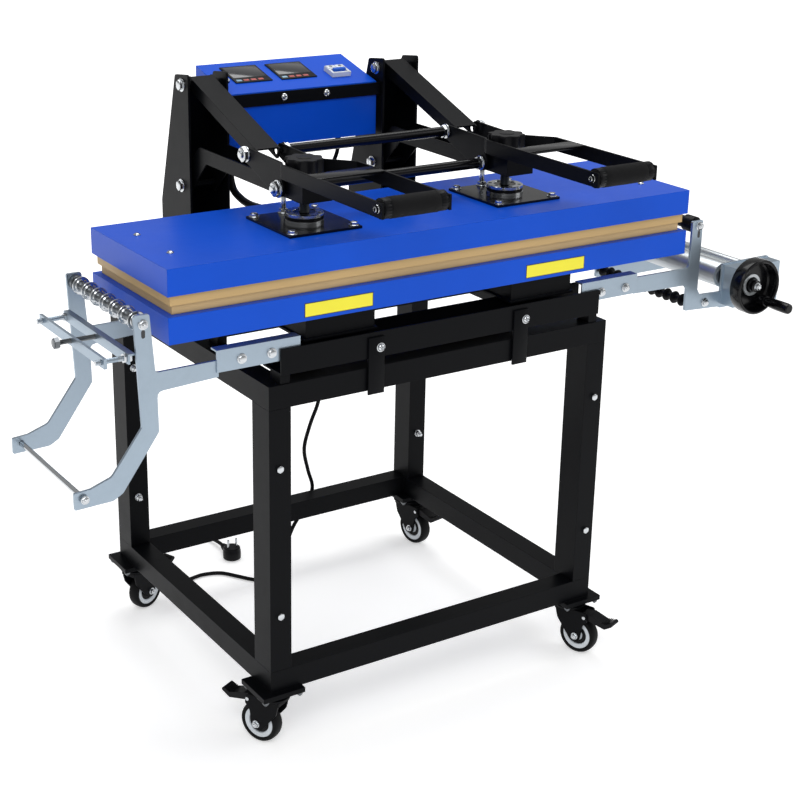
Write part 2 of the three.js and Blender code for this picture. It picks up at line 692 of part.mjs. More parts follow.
// ---------- cables ----------
function buildCables() {
  node("heater_cable", tube(CABLE_ROUTE, CABLE_R, 22, 8), RUBBER);
  const top = BOX.bottom - GAP;
  const profile = [
    [0, top - GLAND.length + 1], [LEAD_R + 1.5, top - GLAND.length + 1], [GLAND.r - 2, top - 10],
    [GLAND.r, top - 8], [GLAND.r, top], [0, top],
  ];
  node("mains_gland", turnedAlongZ(profile, GLAND.x, GLAND.y, 20), PLASTIC);
  node("mains_lead", tube(LEAD_ROUTE, LEAD_R, 76, 8), RUBBER);
  node("mains_plug", plug(), PLASTIC);
}

function plug() {
  const [x, y] = [PLUG.x, PLUG.y];
  const body = rounded([
    [x - PLUG.halfX, y - PLUG.halfY, 12],
    [x + PLUG.halfX, y - PLUG.halfY, 12],
    [x + PLUG.halfX, y + PLUG.halfY, 4],
    [x - PLUG.halfX, y + PLUG.halfY, 4],
  ]);
  const lift = 0.5;
  const housing = new THREE.ExtrudeGeometry(body, { depth: PLUG.high - lift, bevelEnabled: false });
  housing.translate(0, 0, lift);
  const neck = bar("y", 5.5, [x, 12], y + PLUG.halfY - 2, y + PLUG.halfY + 10, 14);
  const pins = [-1, 1].map((s) => {
    const foot = [x + (s * PLUG.pinGap) / 2, y - 4];
    return bar("z", PLUG.pinR, foot, PLUG.high - 1, PLUG.high + PLUG.pinHigh, 12);
  });
  return join(housing, neck, ...pins);
}

// ---------- strap feeder ----------
function feederOutline() {
  const outline = rounded([
    [-569, 820, 4],
    [-561, 642, 8],
    [-613, 572, 14],
    [-648, 560, 5],
    [-675, 558, 2],
    [-675, 531, 2],
    [-612, 533, 14],
    [-596, 542, 10],
    [-533, 630, 8],
    [-534, 695, 10],
    [-430, 700],
    [-430, 727],
    [-536, 726, 6],
    [-543, 820, 4],
  ]);
  return holeIn(holeIn(outline, FEED_ROLL.x, FEED_ROLL.z, 4.5), SUPPLY.x, SUPPLY.z, SUPPLY.r + 0.4);
}

// The zinc channel that carries a side plate: web outside, flanges inwards.
function railChannel(x0, x1, s) {
  const outer = s * (SIDE_Y + 2.8);
  const y0 = Math.min(outer, s * (SIDE_Y - 17));
  const y1 = Math.max(outer, s * (SIDE_Y - 17));
  const hollowOuter = s * (SIDE_Y - 0.2);
  const h0 = Math.min(hollowOuter, s * (SIDE_Y - 18));
  const h1 = Math.max(hollowOuter, s * (SIDE_Y - 18));
  return cut(block(x0, x1, y0, y1, 708, 744), block(x0 - 1, x1 + 1, h0, h1, 711, 741));
}

function sidePlate(shape, s) {
  const faces = [s * SIDE_Y, s * (SIDE_Y - SIDE_T)];
  return plateAlongY(shape, Math.min(...faces), Math.max(...faces));
}

function buildFeeder() {
  for (const [end, s] of [["front", -1], ["rear", 1]])
    node(`feeder_bracket_${end}`, join(sidePlate(feederOutline(), s), railChannel(-434, -286, s)), ZINC);
  const reach = SIDE_Y - SIDE_T - 1;
  const profile = [[0, -reach], [FEED_ROLL.r, -reach]];
  for (let k = 0; k < FEED_ROLL.rings; k++) {
    const y = -reach + 14 + (k * (2 * reach - 40)) / (FEED_ROLL.rings - 1);
    profile.push([FEED_ROLL.r, y], [FEED_ROLL.ringR, y + 1], [FEED_ROLL.ringR, y + 5], [FEED_ROLL.r, y + 6]);
  }
  profile.push([FEED_ROLL.r, reach], [0, reach]);
  node("feeder_roller", turnedAlongY(profile, FEED_ROLL.x, FEED_ROLL.z, 12), CHROME);
  node("supply_rod", bar("y", SUPPLY.r, [SUPPLY.x, SUPPLY.z], -SIDE_Y - 4, SIDE_Y + 4, 16), CHROME);
  buildClamp();
}

function buildClamp() {
  const [z0, z1] = [CLAMP.z - CLAMP.half, CLAMP.z + CLAMP.half];
  const reach = SIDE_Y - SIDE_T - GAP;
  const angle = [
    block(CLAMP.innerX - CLAMP.thick, CLAMP.innerX, -reach, reach, z0, z1),
    block(CLAMP.innerX - 1, CLAMP.innerX + CLAMP.flange, -reach, reach, z1 - CLAMP.thick, z1),
  ];
  const rods = [-1, 1].map((s) => {
    return bar("x", CLAMP.rodR, [s * CLAMP.rodY, CLAMP.z], CLAMP.stripX - 9, CLAMP.innerX - 1, 12);
  });
  const nutHole = bar("x", CLAMP.screwR + 0.5, [0, CLAMP.z], CLAMP.innerX - 10, CLAMP.innerX + 5, 16);
  node("clamp_frame", cut(join(...angle, ...rods), nutHole), ZINC);
  const stripBack = CLAMP.stripX + CLAMP.stripThick;
  const strip = block(CLAMP.stripX, stripBack, -CLAMP.stripHalfY, CLAMP.stripHalfY, z0, z1);
  const holes = [-1, 1].map((s) => {
    return bar("x", CLAMP.rodR + 0.4, [s * CLAMP.rodY, CLAMP.z], CLAMP.stripX - 5, stripBack + 5, 16);
  });
  const screwHole = bar("x", CLAMP.screwR + 0.5, [0, CLAMP.z], CLAMP.stripX - 5, stripBack + 5, 16);
  node("clamp_strip", cut(strip, ...holes, screwHole), ZINC);
  const head = bar("x", CLAMP.headR, [0, CLAMP.z], CLAMP.headX, CLAMP.headX + 7, 6);
  const shank = bar("x", CLAMP.screwR, [0, CLAMP.z], CLAMP.headX + 6, CLAMP.innerX + 9, 16);
  node("clamp_screw", join(head, shank), ZINC);
}

// ---------- take-up winder ----------
function winderOutline() {
  const outline = rounded([
    [543, 823, 3],
    [543, 735, 10],
    [410, 736],
    [410, 706],
    [533, 703, 5],
    [540, 697, 5],
    [540, 653, 3],
    [626, 648],
    [629, 645, 3],
    [747, 645, 3],
    [747, 731, 3],
    [629, 731, 3],
    [628, 677],
    [575, 679, 6],
    [568, 690, 4],
    [568, 823, 3],
  ]);
  holeIn(outline, TAKEUP.x, TAKEUP.z, TAKEUP.shaftR + 0.5);
  holeIn(outline, IDLER.x, IDLER.z, 4.5);
  return holeIn(outline, TOP_ROLL.x, TOP_ROLL.z, TOP_ROLL.pinR);
}

// The hollow housing in front of the front plate, open at the back, that carries the handwheel's shaft.
function bearingHousing() {
  const { x0, x1, front, z0, z1, wall } = BEARING;
  const shell = block(x0, x1, front, -SIDE_Y + 1, z0, z1);
  const shaftBore = bar("y", TAKEUP.shaftR + 0.6, [TAKEUP.x, TAKEUP.z], front - 1, -SIDE_Y + 2);
  const hollow = block(x0 + wall, x1 - wall, front + wall, -SIDE_Y, z0 + wall, z1 - wall);
  return cut(shell, hollow, shaftBore);
}

function winderBracket(s) {
  const parts = [sidePlate(winderOutline(), s), railChannel(286, 414, s)];
  if (s < 0) parts.push(bearingHousing());
  return join(...parts);
}

function buildWinder() {
  node("winder_bracket_front", winderBracket(-1), ZINC);
  node("winder_bracket_rear", winderBracket(1), ZINC);
  const reach = SIDE_Y - SIDE_T - 5;
  const profile = [
    [0, WINCH.back + GAP], [TAKEUP.shaftR, WINCH.back + GAP], [TAKEUP.shaftR, -reach], [TAKEUP.r, -reach],
    [TAKEUP.r, reach], [TAKEUP.shaftR, reach], [TAKEUP.shaftR, SIDE_Y + 6], [0, SIDE_Y + 6],
  ];
  node("takeup_roller", turnedAlongY(profile, TAKEUP.x, TAKEUP.z, 24), ALUMINIUM);
  node("handwheel", handwheel(), PLASTIC);
  node("crank_grip", crankGrip(), PLASTIC);
  node("idler_roller", bar("y", IDLER.r, [IDLER.x, IDLER.z], -reach, reach, 20), ALUMINIUM);
  const { r, collarR, collarLong: long } = TOP_ROLL;
  const roller = [
    [0, -reach], [collarR, -reach], [collarR, -reach + long], [r, -reach + long + 1],
    [r, reach - long - 1], [collarR, reach - long], [collarR, reach], [0, reach],
  ];
  node("winder_top_roller", turnedAlongY(roller, TOP_ROLL.x, TOP_ROLL.z, 16), PLASTIC);
}

// A deep dished wheel: a rim, a web at its back and a hub, with a boss in the dish for the grip's pin.
function handwheel() {
  const { front, back, r, rim, web, hubR, pinR, bossR } = WINCH;
  const profile = [
    [0, front + 4], [hubR, front + 4], [hubR, back - web], [r - rim, back - web], [r - rim, front + 3],
    [r - rim + 3, front], [r - 3, front], [r, front + 3], [r, back - 2], [r - 2, back], [0, back],
  ];
  const dish = turnedAlongY(profile, TAKEUP.x, TAKEUP.z, 24);
  const [gx, gz] = [TAKEUP.x + WINCH.gripX, TAKEUP.z + WINCH.gripZ];
  const boss = bar("y", bossR, [gx, gz], front, back - 1, 20);
  const pin = bar("y", pinR, [gx, gz], WINCH.gripEnd + 8, front + 3, 12);
  return join(dish, boss, pin);
}

function crankGrip() {
  const [gx, gz] = [TAKEUP.x + WINCH.gripX, TAKEUP.z + WINCH.gripZ];
  const back = WINCH.front - GAP;
  const r = WINCH.gripR;
  const profile = [
    [3.4, back], [3.4, WINCH.gripEnd + 6], [0, WINCH.gripEnd + 6], [0, WINCH.gripEnd], [r - 2, WINCH.gripEnd],
    [r, WINCH.gripEnd + 3], [r, WINCH.gripEnd + 40], [r - 1.5, back], [3.4, back],
  ];
  return turnedAlongY(profile, gx, gz, 14);
}

// ---------- assembly ----------
buildStand();
buildCasters();
buildPressBase();
buildPlatens();
buildMechanism();
buildControlBox();
buildCables();
buildFeeder();
buildWinder();

// The origin is the bottom centre of the box of everything but the free mains lead and its plug.
const CORD_NODES = ["mains_lead", "mains_plug"];
const extent = new THREE.Box3();
for (const mesh of model.children) if (!CORD_NODES.includes(mesh.name)) extent.expandByObject(mesh);
const middle = extent.getCenter(new THREE.Vector3());
model.position.set(-middle.x, -middle.y, 0);

export default model;
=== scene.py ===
import json
import math

import bmesh
import bpy
from bpy.props import FloatProperty, FloatVectorProperty, PointerProperty
from mathutils import Matrix, Vector

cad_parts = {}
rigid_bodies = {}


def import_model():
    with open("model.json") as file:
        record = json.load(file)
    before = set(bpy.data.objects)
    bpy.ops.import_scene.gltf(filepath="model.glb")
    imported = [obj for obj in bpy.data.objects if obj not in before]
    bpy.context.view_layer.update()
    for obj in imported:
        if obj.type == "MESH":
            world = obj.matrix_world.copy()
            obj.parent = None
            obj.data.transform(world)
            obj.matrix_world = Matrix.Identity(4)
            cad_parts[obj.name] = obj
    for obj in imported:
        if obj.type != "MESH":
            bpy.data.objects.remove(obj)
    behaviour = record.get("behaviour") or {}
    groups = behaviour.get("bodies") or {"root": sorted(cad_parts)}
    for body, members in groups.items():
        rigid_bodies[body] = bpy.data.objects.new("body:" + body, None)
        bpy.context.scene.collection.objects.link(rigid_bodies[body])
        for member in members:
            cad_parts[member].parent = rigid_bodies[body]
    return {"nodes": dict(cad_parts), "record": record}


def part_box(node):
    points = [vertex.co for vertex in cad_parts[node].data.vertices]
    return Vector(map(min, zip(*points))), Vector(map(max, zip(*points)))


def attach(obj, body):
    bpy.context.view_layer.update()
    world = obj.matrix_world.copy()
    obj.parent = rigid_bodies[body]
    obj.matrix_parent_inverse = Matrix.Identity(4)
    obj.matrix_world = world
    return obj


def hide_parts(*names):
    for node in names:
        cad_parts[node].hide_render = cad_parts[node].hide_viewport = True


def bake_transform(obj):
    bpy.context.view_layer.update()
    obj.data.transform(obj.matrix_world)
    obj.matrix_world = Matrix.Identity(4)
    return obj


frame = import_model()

bl_info = {
    "name": "Clamshell heat press",
    "version": (1, 0, 0),
    "blender": (4, 5, 0),
    "location": "3D View > Sidebar > Heat press",
    "description": "Dresses the jointed heat press with its finishes, fasteners, cables and stage",
    "category": "Add Mesh",
}

MM = 0.001
X, Y, Z = Vector((1, 0, 0)), Vector((0, 1, 0)), Vector((0, 0, 1))
LOW_CASE, HIGH_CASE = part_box("lower_housing")
# The maker's drawing is centred on the middle of the platens, with z = 0 on the floor.
ORIGIN = Vector(((LOW_CASE.x + HIGH_CASE.x) / 2, (LOW_CASE.y + HIGH_CASE.y) / 2, 0))
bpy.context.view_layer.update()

# ---------- sizes from the drawing, in millimetres ----------
UNIT_X = 204  # each press unit stands this far from the middle
PIVOT_A = (357, 1061)
PIVOT_B = (128, 980)
PIVOT_C = (20, 943)
PIVOT_D = (367, 878)
SPINDLE_Y = -4
PLATEN_TOP = 887
PLATEN_FRONT = -140.5
STAND_FRONT = -135
LEG_X = 326
LEG_BOLT_Z = (259, 525)
PANEL_FRONT, PANEL_Z = 345.3, 1038
PANEL_TILT = math.atan2(34, 129.7)
TAKEUP = (640, 705.5)
WHEEL_FRONT, WHEEL_BACK = -216, -190
GRIP = (662, 675.5)
FEED_ROLL = (-554, 805)
SUPPLY = (-660, 547)
CASTERS = (
    ("front_left", -325, -107, 243.6),
    ("front_right", 325, -107, 69.3),
    ("rear_left", -325, 452, 338.0),
    ("rear_right", 325, 452, 79.4),
)
WHEEL_TRAIL, WHEEL_R = 24.4, 37.5

LEAD_ROUTE = (
    (128, 436, 915.4), (127, 436, 890), (110, 445, 845), (98, 476, 800), (100, 496, 745), (108, 504, 690),
    (118, 504, 600), (128, 502, 500), (132, 500, 410), (124, 500, 345), (105, 500, 299), (90, 500, 245),
    (99, 500, 195), (110, 500, 150), (90, 500, 108), (60, 496, 72), (32, 480, 36), (8, 455, 10),
    (-10, 438, 5.2), (-25.4, 429.3, 4.3), (-43.1, 427.6, 4.3), (-59.5, 434.2, 4.3), (-72, 448, 4.3),
    (-90, 475, 4.3), (-112, 503, 4.3), (-148, 515, 4.3),
    (-186, 510, 4.3), (-222, 516, 4.3), (-248, 540, 4.3), (-258, 576, 4.3), (-252, 620, 4.3), (-228, 664, 4.3),
    (-188, 698, 4.3), (-140, 712, 4.3), (-96, 704, 4.3), (-66, 676, 5.5), (-55, 644, 9.5), (-54, 618, 12),
    (-54, 592.6, 12),
)
LEAD_R = 4.0
CONDUIT_ROUTE = (
    (-148, 364, 939), (-148, 364, 912), (-148, 361, 885), (-149, 348, 864), (-151, 312, 853), (-155, 272, 852),
    (-160, 234, 856), (-168, 198, 861), (-176, 170, 865), (-180, 154, 866), (-180, 140, 866),
)
CONDUIT_R = 7.0


def at(x, y, z):
    """A point of the drawing, in the frame's metres."""
    return ORIGIN + Vector((x, y, z)) * MM


def panel_point(x, along, proud):
    """A point over the control box's sloped panel, by its distance along the slope and above it."""
    c, s = math.cos(PANEL_TILT), math.sin(PANEL_TILT)
    return at(x, PANEL_FRONT + along * c - proud * s, PANEL_Z + along * s + proud * c)


# ---------- shader maths ----------
class Wire:
    """A node's output; Python's operators on it add Math nodes."""

    def __init__(self, finish, socket):
        self.finish = finish
        self.socket = socket

    def _sum(self, operation, first, second):
        return self.finish.node("ShaderNodeMath", {"operation": operation}, {0: first, 1: second})

    def __add__(self, other):
        return self._sum("ADD", self, other)

    def __radd__(self, other):
        return self._sum("ADD", other, self)

    def __sub__(self, other):
        return self._sum("SUBTRACT", self, other)

    def __rsub__(self, other):
        return self._sum("SUBTRACT", other, self)

    def __mul__(self, other):
        return self._sum("MULTIPLY", self, other)

    def __rmul__(self, other):
        return self._sum("MULTIPLY", other, self)


class Finish:
    """One material and the nodes that vary it."""

    def __init__(self, name, colour, roughness, metallic=0.0, coat=0.0, specular=0.5):
        self.material = bpy.data.materials.new(name)
        self.material.use_nodes = True
        self.tree = self.material.node_tree
        self.shader = self.tree.nodes["Principled BSDF"]
        self.colour = (*colour, 1.0)
        self.put("Base Color", self.colour)
        self.put("Roughness", roughness)
        self.put("Metallic", metallic)
        self.put("Coat Weight", coat)
        self.put("Coat Roughness", 0.12)
        self.put("Specular IOR Level", specular)
        self.place = self.node("ShaderNodeTexCoord", {}, {}, "Object")

    def put(self, name, value):
        self._feed(self.shader.inputs[name], value)

    def _feed(self, socket, value):
        if isinstance(value, Wire):
            self.tree.links.new(value.socket, socket)
        else:
            socket.default_value = value

    def node(self, kind, settings, inputs, output=0):
        """Adds one node: its settings first, then the values or links of its sockets."""
        made = self.tree.nodes.new(kind)
        for key, value in settings.items():
            setattr(made, key, value)
        for key, value in inputs.items():
            self._feed(made.inputs[key], value)
        return Wire(self, made.outputs[output])

    def noise(self, scale, detail=3.0, stretch=(1, 1, 1), rough=0.55):
        place = self.node("ShaderNodeMapping", {}, {"Vector": self.place, "Scale": stretch})
        inputs = {"Vector": place, "Scale": scale, "Detail": detail, "Roughness": rough}
        return self.node("ShaderNodeTexNoise", {}, inputs, "Fac")

    def blend(self, factor, first, second):
        settings = {"data_type": "RGBA", "clamp_factor": True}
        return self.node("ShaderNodeMix", settings, {0: factor, 6: first, 7: second}, 2)

    def shade(self, factor):
        """This finish's colour made darker or lighter by a factor."""
        return tuple(min(1.0, c * factor) for c in self.colour[:3]) + (1.0,)

    def relief(self, height, strength, distance, edge=0.0):
        """Bump from a height, over edges that are rounded by a radius."""
        inputs = {"Height": height, "Strength": strength, "Distance": distance}
        if edge:
            inputs["Normal"] = self.node("ShaderNodeBevel", {"samples": 4}, {"Radius": edge})
        self.put("Normal", self.node("ShaderNodeBump", {}, inputs, "Normal"))


def powder_coat(name, colour, roughness, coat, edge=0.0012, specular=0.3):
    """Sprayed coat: a fine orange peel, slight cloudiness, a little dust on the gloss."""
    f = Finish(name, colour, roughness, coat=coat, specular=specular)
    cloud = f.noise(7.0, 4.0)
    f.put("Base Color", f.blend(cloud, f.shade(0.90), f.shade(1.10)))
    f.put("Roughness", roughness - 0.05 + 0.10 * f.noise(38.0, 5.0))
    f.relief(f.noise(900.0, 2.0), 0.10, 0.0004, edge)
    return f


def zinc_plate(name, colour):
    """Bright zinc: soft blotches with a blue cast and faint rolling lines."""
    f = Finish(name, colour, 0.30, metallic=0.85)
    blotch = f.noise(22.0, 5.0, rough=0.65)
    lines = f.noise(60.0, 3.0, stretch=(0.6, 1, 9))
    f.put("Base Color", f.blend(blotch, f.shade(0.86), f.shade(1.16)))
    f.put("Roughness", 0.22 + 0.20 * blotch + 0.06 * lines)
    f.relief(lines, 0.06, 0.0003, 0.0006)
    return f


def polished(name, colour, roughness, metallic=1.0):
    """Polished or ground metal with hairline wear."""
    f = Finish(name, colour, roughness, metallic=metallic)
    wear = f.noise(90.0, 6.0, rough=0.7)
    f.put("Base Color", f.blend(wear, f.shade(0.92), f.shade(1.06)))
    f.put("Roughness", roughness - 0.04 + 0.12 * wear)
    f.relief(f.noise(400.0, 2.0), 0.04, 0.0002)
    return f


def drawn_tube(name, colour):
    """Drawn aluminium tube: fine lines along its length."""
    f = Finish(name, colour, 0.36, metallic=0.85)
    grain = f.noise(160.0, 4.0, stretch=(3, 0.04, 3))
    f.put("Base Color", f.blend(grain, f.shade(0.92), f.shade(1.05)))
    f.put("Roughness", 0.28 + 0.16 * grain)
    f.relief(grain, 0.08, 0.0002)
    return f


def moulded(name, colour, roughness, grain=650.0, depth=0.16, coat=0.0, specular=0.10):
    """Moulded plastic or rubber with a fine grain."""
    f = Finish(name, colour, roughness, coat=coat, specular=specular)
    f.put("Base Color", f.blend(f.noise(30.0, 4.0), f.shade(0.85), f.shade(1.2)))
    f.put("Roughness", roughness - 0.06 + 0.12 * f.noise(120.0, 3.0))
    f.relief(f.noise(grain, 2.0), depth, 0.0005, 0.0006)
    return f


def woven(name, colour):
    """A foam pad under a tightly woven cover."""
    f = Finish(name, colour, 0.62)
    warp = f.noise(420.0, 1.0, stretch=(1, 0.25, 1))
    weft = f.noise(420.0, 1.0, stretch=(0.25, 1, 1))
    f.put("Base Color", f.blend(f.noise(12.0, 4.0), f.shade(0.90), f.shade(1.10)))
    f.relief(warp * 0.5 + weft * 0.5, 0.35, 0.0006, 0.003)
    return f


# ---------- modelling helpers ----------
def turn_to(direction):
    return Vector(direction).normalized().to_track_quat("Z", "Y").to_matrix().to_4x4()


def put_box(bm, low, high, edge=0.0, segments=2, matrix=None):
    """A block between two corners, its edges rounded."""
    low, high = Vector(low), Vector(high)
    made = bmesh.ops.create_cube(bm, size=1.0)["verts"]
    bmesh.ops.scale(bm, vec=high - low, verts=made)
    if edge:
        edges = list({e for v in made for e in v.link_edges})
        made = bmesh.ops.bevel(
            bm, geom=edges, offset=edge, offset_type="OFFSET", segments=segments, profile=0.5,
            affect="EDGES", clamp_overlap=True, material=-1,
        )["verts"]
        made = _island(made)
    bmesh.ops.translate(bm, vec=(low + high) / 2, verts=made)
    if matrix is not None:
        bmesh.ops.transform(bm, matrix=matrix, verts=made)
    return made


def _island(verts):
    """Every vertex joined to these ones."""
    found, waiting = set(verts), list(verts)
    while waiting:
        for edge in waiting.pop().link_edges:
            for v in edge.verts:
                if v not in found:
                    found.add(v)
                    waiting.append(v)
    return list(found)


def put_rod(bm, start, end, radius, sides=40, edge=0.0, end_radius=None):
    """A round bar from one point to another."""
    start, end = Vector(start), Vector(end)
    matrix = Matrix.Translation((start + end) / 2) @ turn_to(end - start)
    second = radius if end_radius is None else end_radius
    made = bmesh.ops.create_cone(
        bm, cap_ends=True, segments=sides, radius1=radius, radius2=second,
        depth=(end - start).length, matrix=matrix,
    )["verts"]
    if edge:
        edges = {e for v in made for e in v.link_edges}
        rims = [e for e in edges if len(e.link_faces) == 2 and e.calc_face_angle(0) > 0.9]
        bmesh.ops.bevel(
            bm, geom=rims, offset=edge, offset_type="OFFSET", segments=2, profile=0.5, affect="EDGES",
            clamp_overlap=True, material=-1,
        )
    return made


def put_turned(bm, profile, centre, axis, steps=48):
    """A body of revolution: profile holds (radius, height) pairs along the axis from the centre."""
    matrix = Matrix.Translation(Vector(centre)) @ turn_to(axis)
    verts = [bm.verts.new(matrix @ Vector((r, 0, h))) for r, h in profile]
    edges = [bm.edges.new(pair) for pair in zip(verts, verts[1:])]
    spun = bmesh.ops.spin(
        bm, geom=verts + edges, cent=Vector(centre), axis=matrix.to_3x3() @ Z, angle=math.tau, steps=steps,
        use_merge=True, use_duplicate=False,
    )
    return spun


def put_plate(bm, outline, matrix, thickness, edge=0.0):
    """A flat plate: an outline in the matrix's own x and y, pushed along its z."""
    verts = [bm.verts.new(matrix @ Vector((x, y, 0))) for x, y in outline]
    face = bm.faces.new(verts)
    moved = bmesh.ops.extrude_face_region(bm, geom=[face])["geom"]
    pushed = [g for g in moved if isinstance(g, bmesh.types.BMVert)]
    bmesh.ops.translate(bm, vec=matrix.to_3x3() @ Vector((0, 0, thickness)), verts=pushed)
    if edge:
        edges = list({e for v in verts + pushed for e in v.link_edges})
        bmesh.ops.bevel(
            bm, geom=edges, offset=edge, offset_type="OFFSET", segments=1, profile=0.5, affect="EDGES",
            clamp_overlap=True, material=-1,
        )


def put_bolt(bm, point, normal, head=7.0, height=5.0, washer=9.0, thread=0.0):
    """A hexagon head with a dished top on its washer, and a thread's end past it where it shows."""
    point, normal = Vector(point), Vector(normal).normalized()
    head, height, washer, thread = (v * MM for v in (head, height, washer, thread))
    sheet = 1.4 * MM
    if washer:
        put_rod(bm, point, point + normal * sheet, washer, 28, 0.3 * MM)
    else:
        sheet = 0
    foot = point + normal * sheet
    put_rod(bm, foot, foot + normal * height * 0.86, head, 6)
    crown = foot + normal * height * 0.86
    put_rod(bm, crown, crown + normal * height * 0.14, head * 0.93, 24, 0, head * 0.72)
    if thread:
        put_thread(bm, crown, crown + normal * thread, head * 0.52)


def put_socket_bolt(bm, point, normal, head=7.0, height=4.0, washer=9.5):
    """A domed socket screw on its washer, a round socket sunk in the dome."""
    point, normal = Vector(point), Vector(normal).normalized()
    head, height, washer = (v * MM for v in (head, height, washer))
    sheet = 1.2 * MM if washer else 0
    if washer:
        put_rod(bm, point, point + normal * sheet, washer, 28, 0.3 * MM)
    dome = [(0.45 * head * k, height) for k in (1.0,)]
    for k in range(5):
        turn = math.radians(25 + 65 * k / 4)
        dome.append((head * math.sin(turn), height * math.cos(turn) * 1.05))
    profile = [(0, height * 0.35), (0.42 * head, height * 0.35)] + dome + [(head, 0), (0, 0)]
    put_turned(bm, profile, point + normal * sheet, normal, 28)


def put_thread(bm, start, end, radius, pitch=1.25):
    """A threaded end: rings at the thread's pitch."""
    start, end = Vector(start), Vector(end)
    length = (end - start).length
    rings = max(2, round(length / (pitch * MM)))
    profile = [(0, 0)]
    for k in range(rings):
        profile += [(radius * 0.86, length * k / rings), (radius, length * (k + 0.5) / rings)]
    profile += [(radius * 0.8, length), (0, length)]
    put_turned(bm, profile, start, end - start, 16)


def finish_material(name):
    """The material of a finish, which the finishes operator has to have made."""
    if name not in FINISHES:
        raise RuntimeError(f"There is no finish named {name}: run Finishes first")
    return FINISHES[name].material


def piece(name, bm, finish, body, crease=35.0):
    """Closes the mesh, gives it its finish and hangs it on its body."""
    bmesh.ops.remove_doubles(bm, verts=bm.verts, dist=1e-6)
    bmesh.ops.dissolve_degenerate(bm, edges=bm.edges, dist=1e-7)
    bmesh.ops.recalc_face_normals(bm, faces=bm.faces)
    mesh = bpy.data.meshes.new(name)
    bm.to_mesh(mesh)
    bm.free()
    for polygon in mesh.polygons:
        polygon.use_smooth = True
    mesh.set_sharp_from_angle(angle=math.radians(crease))
    mesh.materials.append(finish_material(finish))
    obj = bpy.data.objects.new(name, mesh)
    bpy.context.scene.collection.objects.link(obj)
    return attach(obj, body)


# ---------- settings ----------
def colour_prop(name, text, default):
    return FloatVectorProperty(
        name=name, description=text, subtype="COLOR", size=3, min=0, max=1, default=default
    )


class PressColours(bpy.types.PropertyGroup):
    """The press's paint and plastic colours."""

    blue: colour_prop("Blue coat", "Housings and control box", (0.0015, 0.072, 0.56))
    black: colour_prop("Black coat", "Stand, uprights, arms and handles", (0.0028, 0.0031, 0.0040))
    pad: colour_prop("Pad", "Foam pad on the lower platen", (0.60, 0.42, 0.20))
    plate: colour_prop("Heating plate", "Coated edge of the heating plate", (0.52, 0.35, 0.15))
    zinc: colour_prop("Zinc", "Feeder and winder brackets", (0.33, 0.40, 0.47))
    marker: colour_prop("Marker plates", "Plain plates on the lower housing", (0.84, 0.76, 0.04))


class PressSizes(bpy.types.PropertyGroup):
    """Sizes of the fittings that a maker would change."""

    grip_radius: FloatProperty(
        name="Grip radius", description="Foam grips on the handles", default=16.6 * MM, unit="LENGTH"
    )
    knob_radius: FloatProperty(
        name="Knob radius", description="Lobed pressure knobs", default=32.5 * MM, unit="LENGTH"
    )
    bolt_head: FloatProperty(
        name="Bolt head", description="Corner radius of the stand's bolts, in millimetres", default=6.4
    )
    marker_length: FloatProperty(
        name="Marker length", description="Plain plates on the lower housing", default=125 * MM, unit="LENGTH"
    )


FINISHES = {}


def make_finishes(c):
    FINISHES.update(
        blue_coat=powder_coat("blue_coat", c.blue, 0.34, 0.04, specular=0.14),
        black_coat=powder_coat("black_coat", c.black, 0.38, 0.0, specular=0.07),
        black_gloss=powder_coat("black_gloss", (0.0022, 0.0022, 0.003), 0.20, 0.05, 0.0006, 0.22),
        zinc=zinc_plate("zinc", c.zinc),
        chrome=polished("chrome", (0.56, 0.58, 0.60), 0.14),
        steel_dark=polished("steel_dark", (0.16, 0.17, 0.18), 0.28),
        aluminium=drawn_tube("aluminium", (0.50, 0.53, 0.55)),
        tan_pad=woven("tan_pad", c.pad),
        gold_plate=powder_coat("gold_plate", c.plate, 0.42, 0.1, 0.001),
        tyre=moulded("tyre", (0.004, 0.004, 0.0045), 0.55, 300.0, 0.2),
        black_plastic=moulded("black_plastic", (0.0045, 0.0045, 0.0055), 0.40, coat=0.05),
        cable_jacket=moulded("cable_jacket", (0.004, 0.004, 0.0045), 0.42, 800.0, 0.08),
        grip_foam=moulded("grip_foam", (0.0035, 0.0035, 0.004), 0.75, 420.0, 0.5, specular=0.15),
        white_plastic=moulded("white_plastic", (0.62, 0.66, 0.70), 0.35, 500.0, 0.05, 0.2, 0.5),
        blue_plastic=moulded("blue_plastic", (0.02, 0.11, 0.55), 0.32, 500.0, 0.05, 0.2),
        yellow_plate=powder_coat("yellow_plate", c.marker, 0.45, 0.1, 0.0003),
        display=powder_coat("display", (0.012, 0.013, 0.017), 0.16, 0.6, 0.0004),
        key_red=moulded("key_red", (0.42, 0.12, 0.11), 0.45, 500.0, 0.05),
        key_blue=moulded("key_blue", (0.28, 0.42, 0.52), 0.45, 500.0, 0.05),
    )


def dress_frame():
    """Gives each CAD node the finish of its slot."""
    slots = {row["node"]: row["material_slot"] for row in frame["record"]["subparts"]}
    for name, obj in frame["nodes"].items():
        obj.data.materials.clear()
        obj.data.materials.append(finish_material(slots[name]))


# ---------- stand and casters ----------
def stand_bolts(sizes):
    """Bolts of the legs, front and back."""
    bm = bmesh.new()
    for x in (-LEG_X - 0.6, LEG_X + 0.6):
        for z in LEG_BOLT_Z:
            put_bolt(bm, at(x, STAND_FRONT, z), -Y, sizes.bolt_head, 5, 0)
            put_bolt(bm, at(x, 424, z), -Y, sizes.bolt_head, 6, 7.5, 8)
            put_bolt(bm, at(x, 480, z), Y, sizes.bolt_head, 5, 0)
    piece("leg_bolts", bm, "chrome", "base")


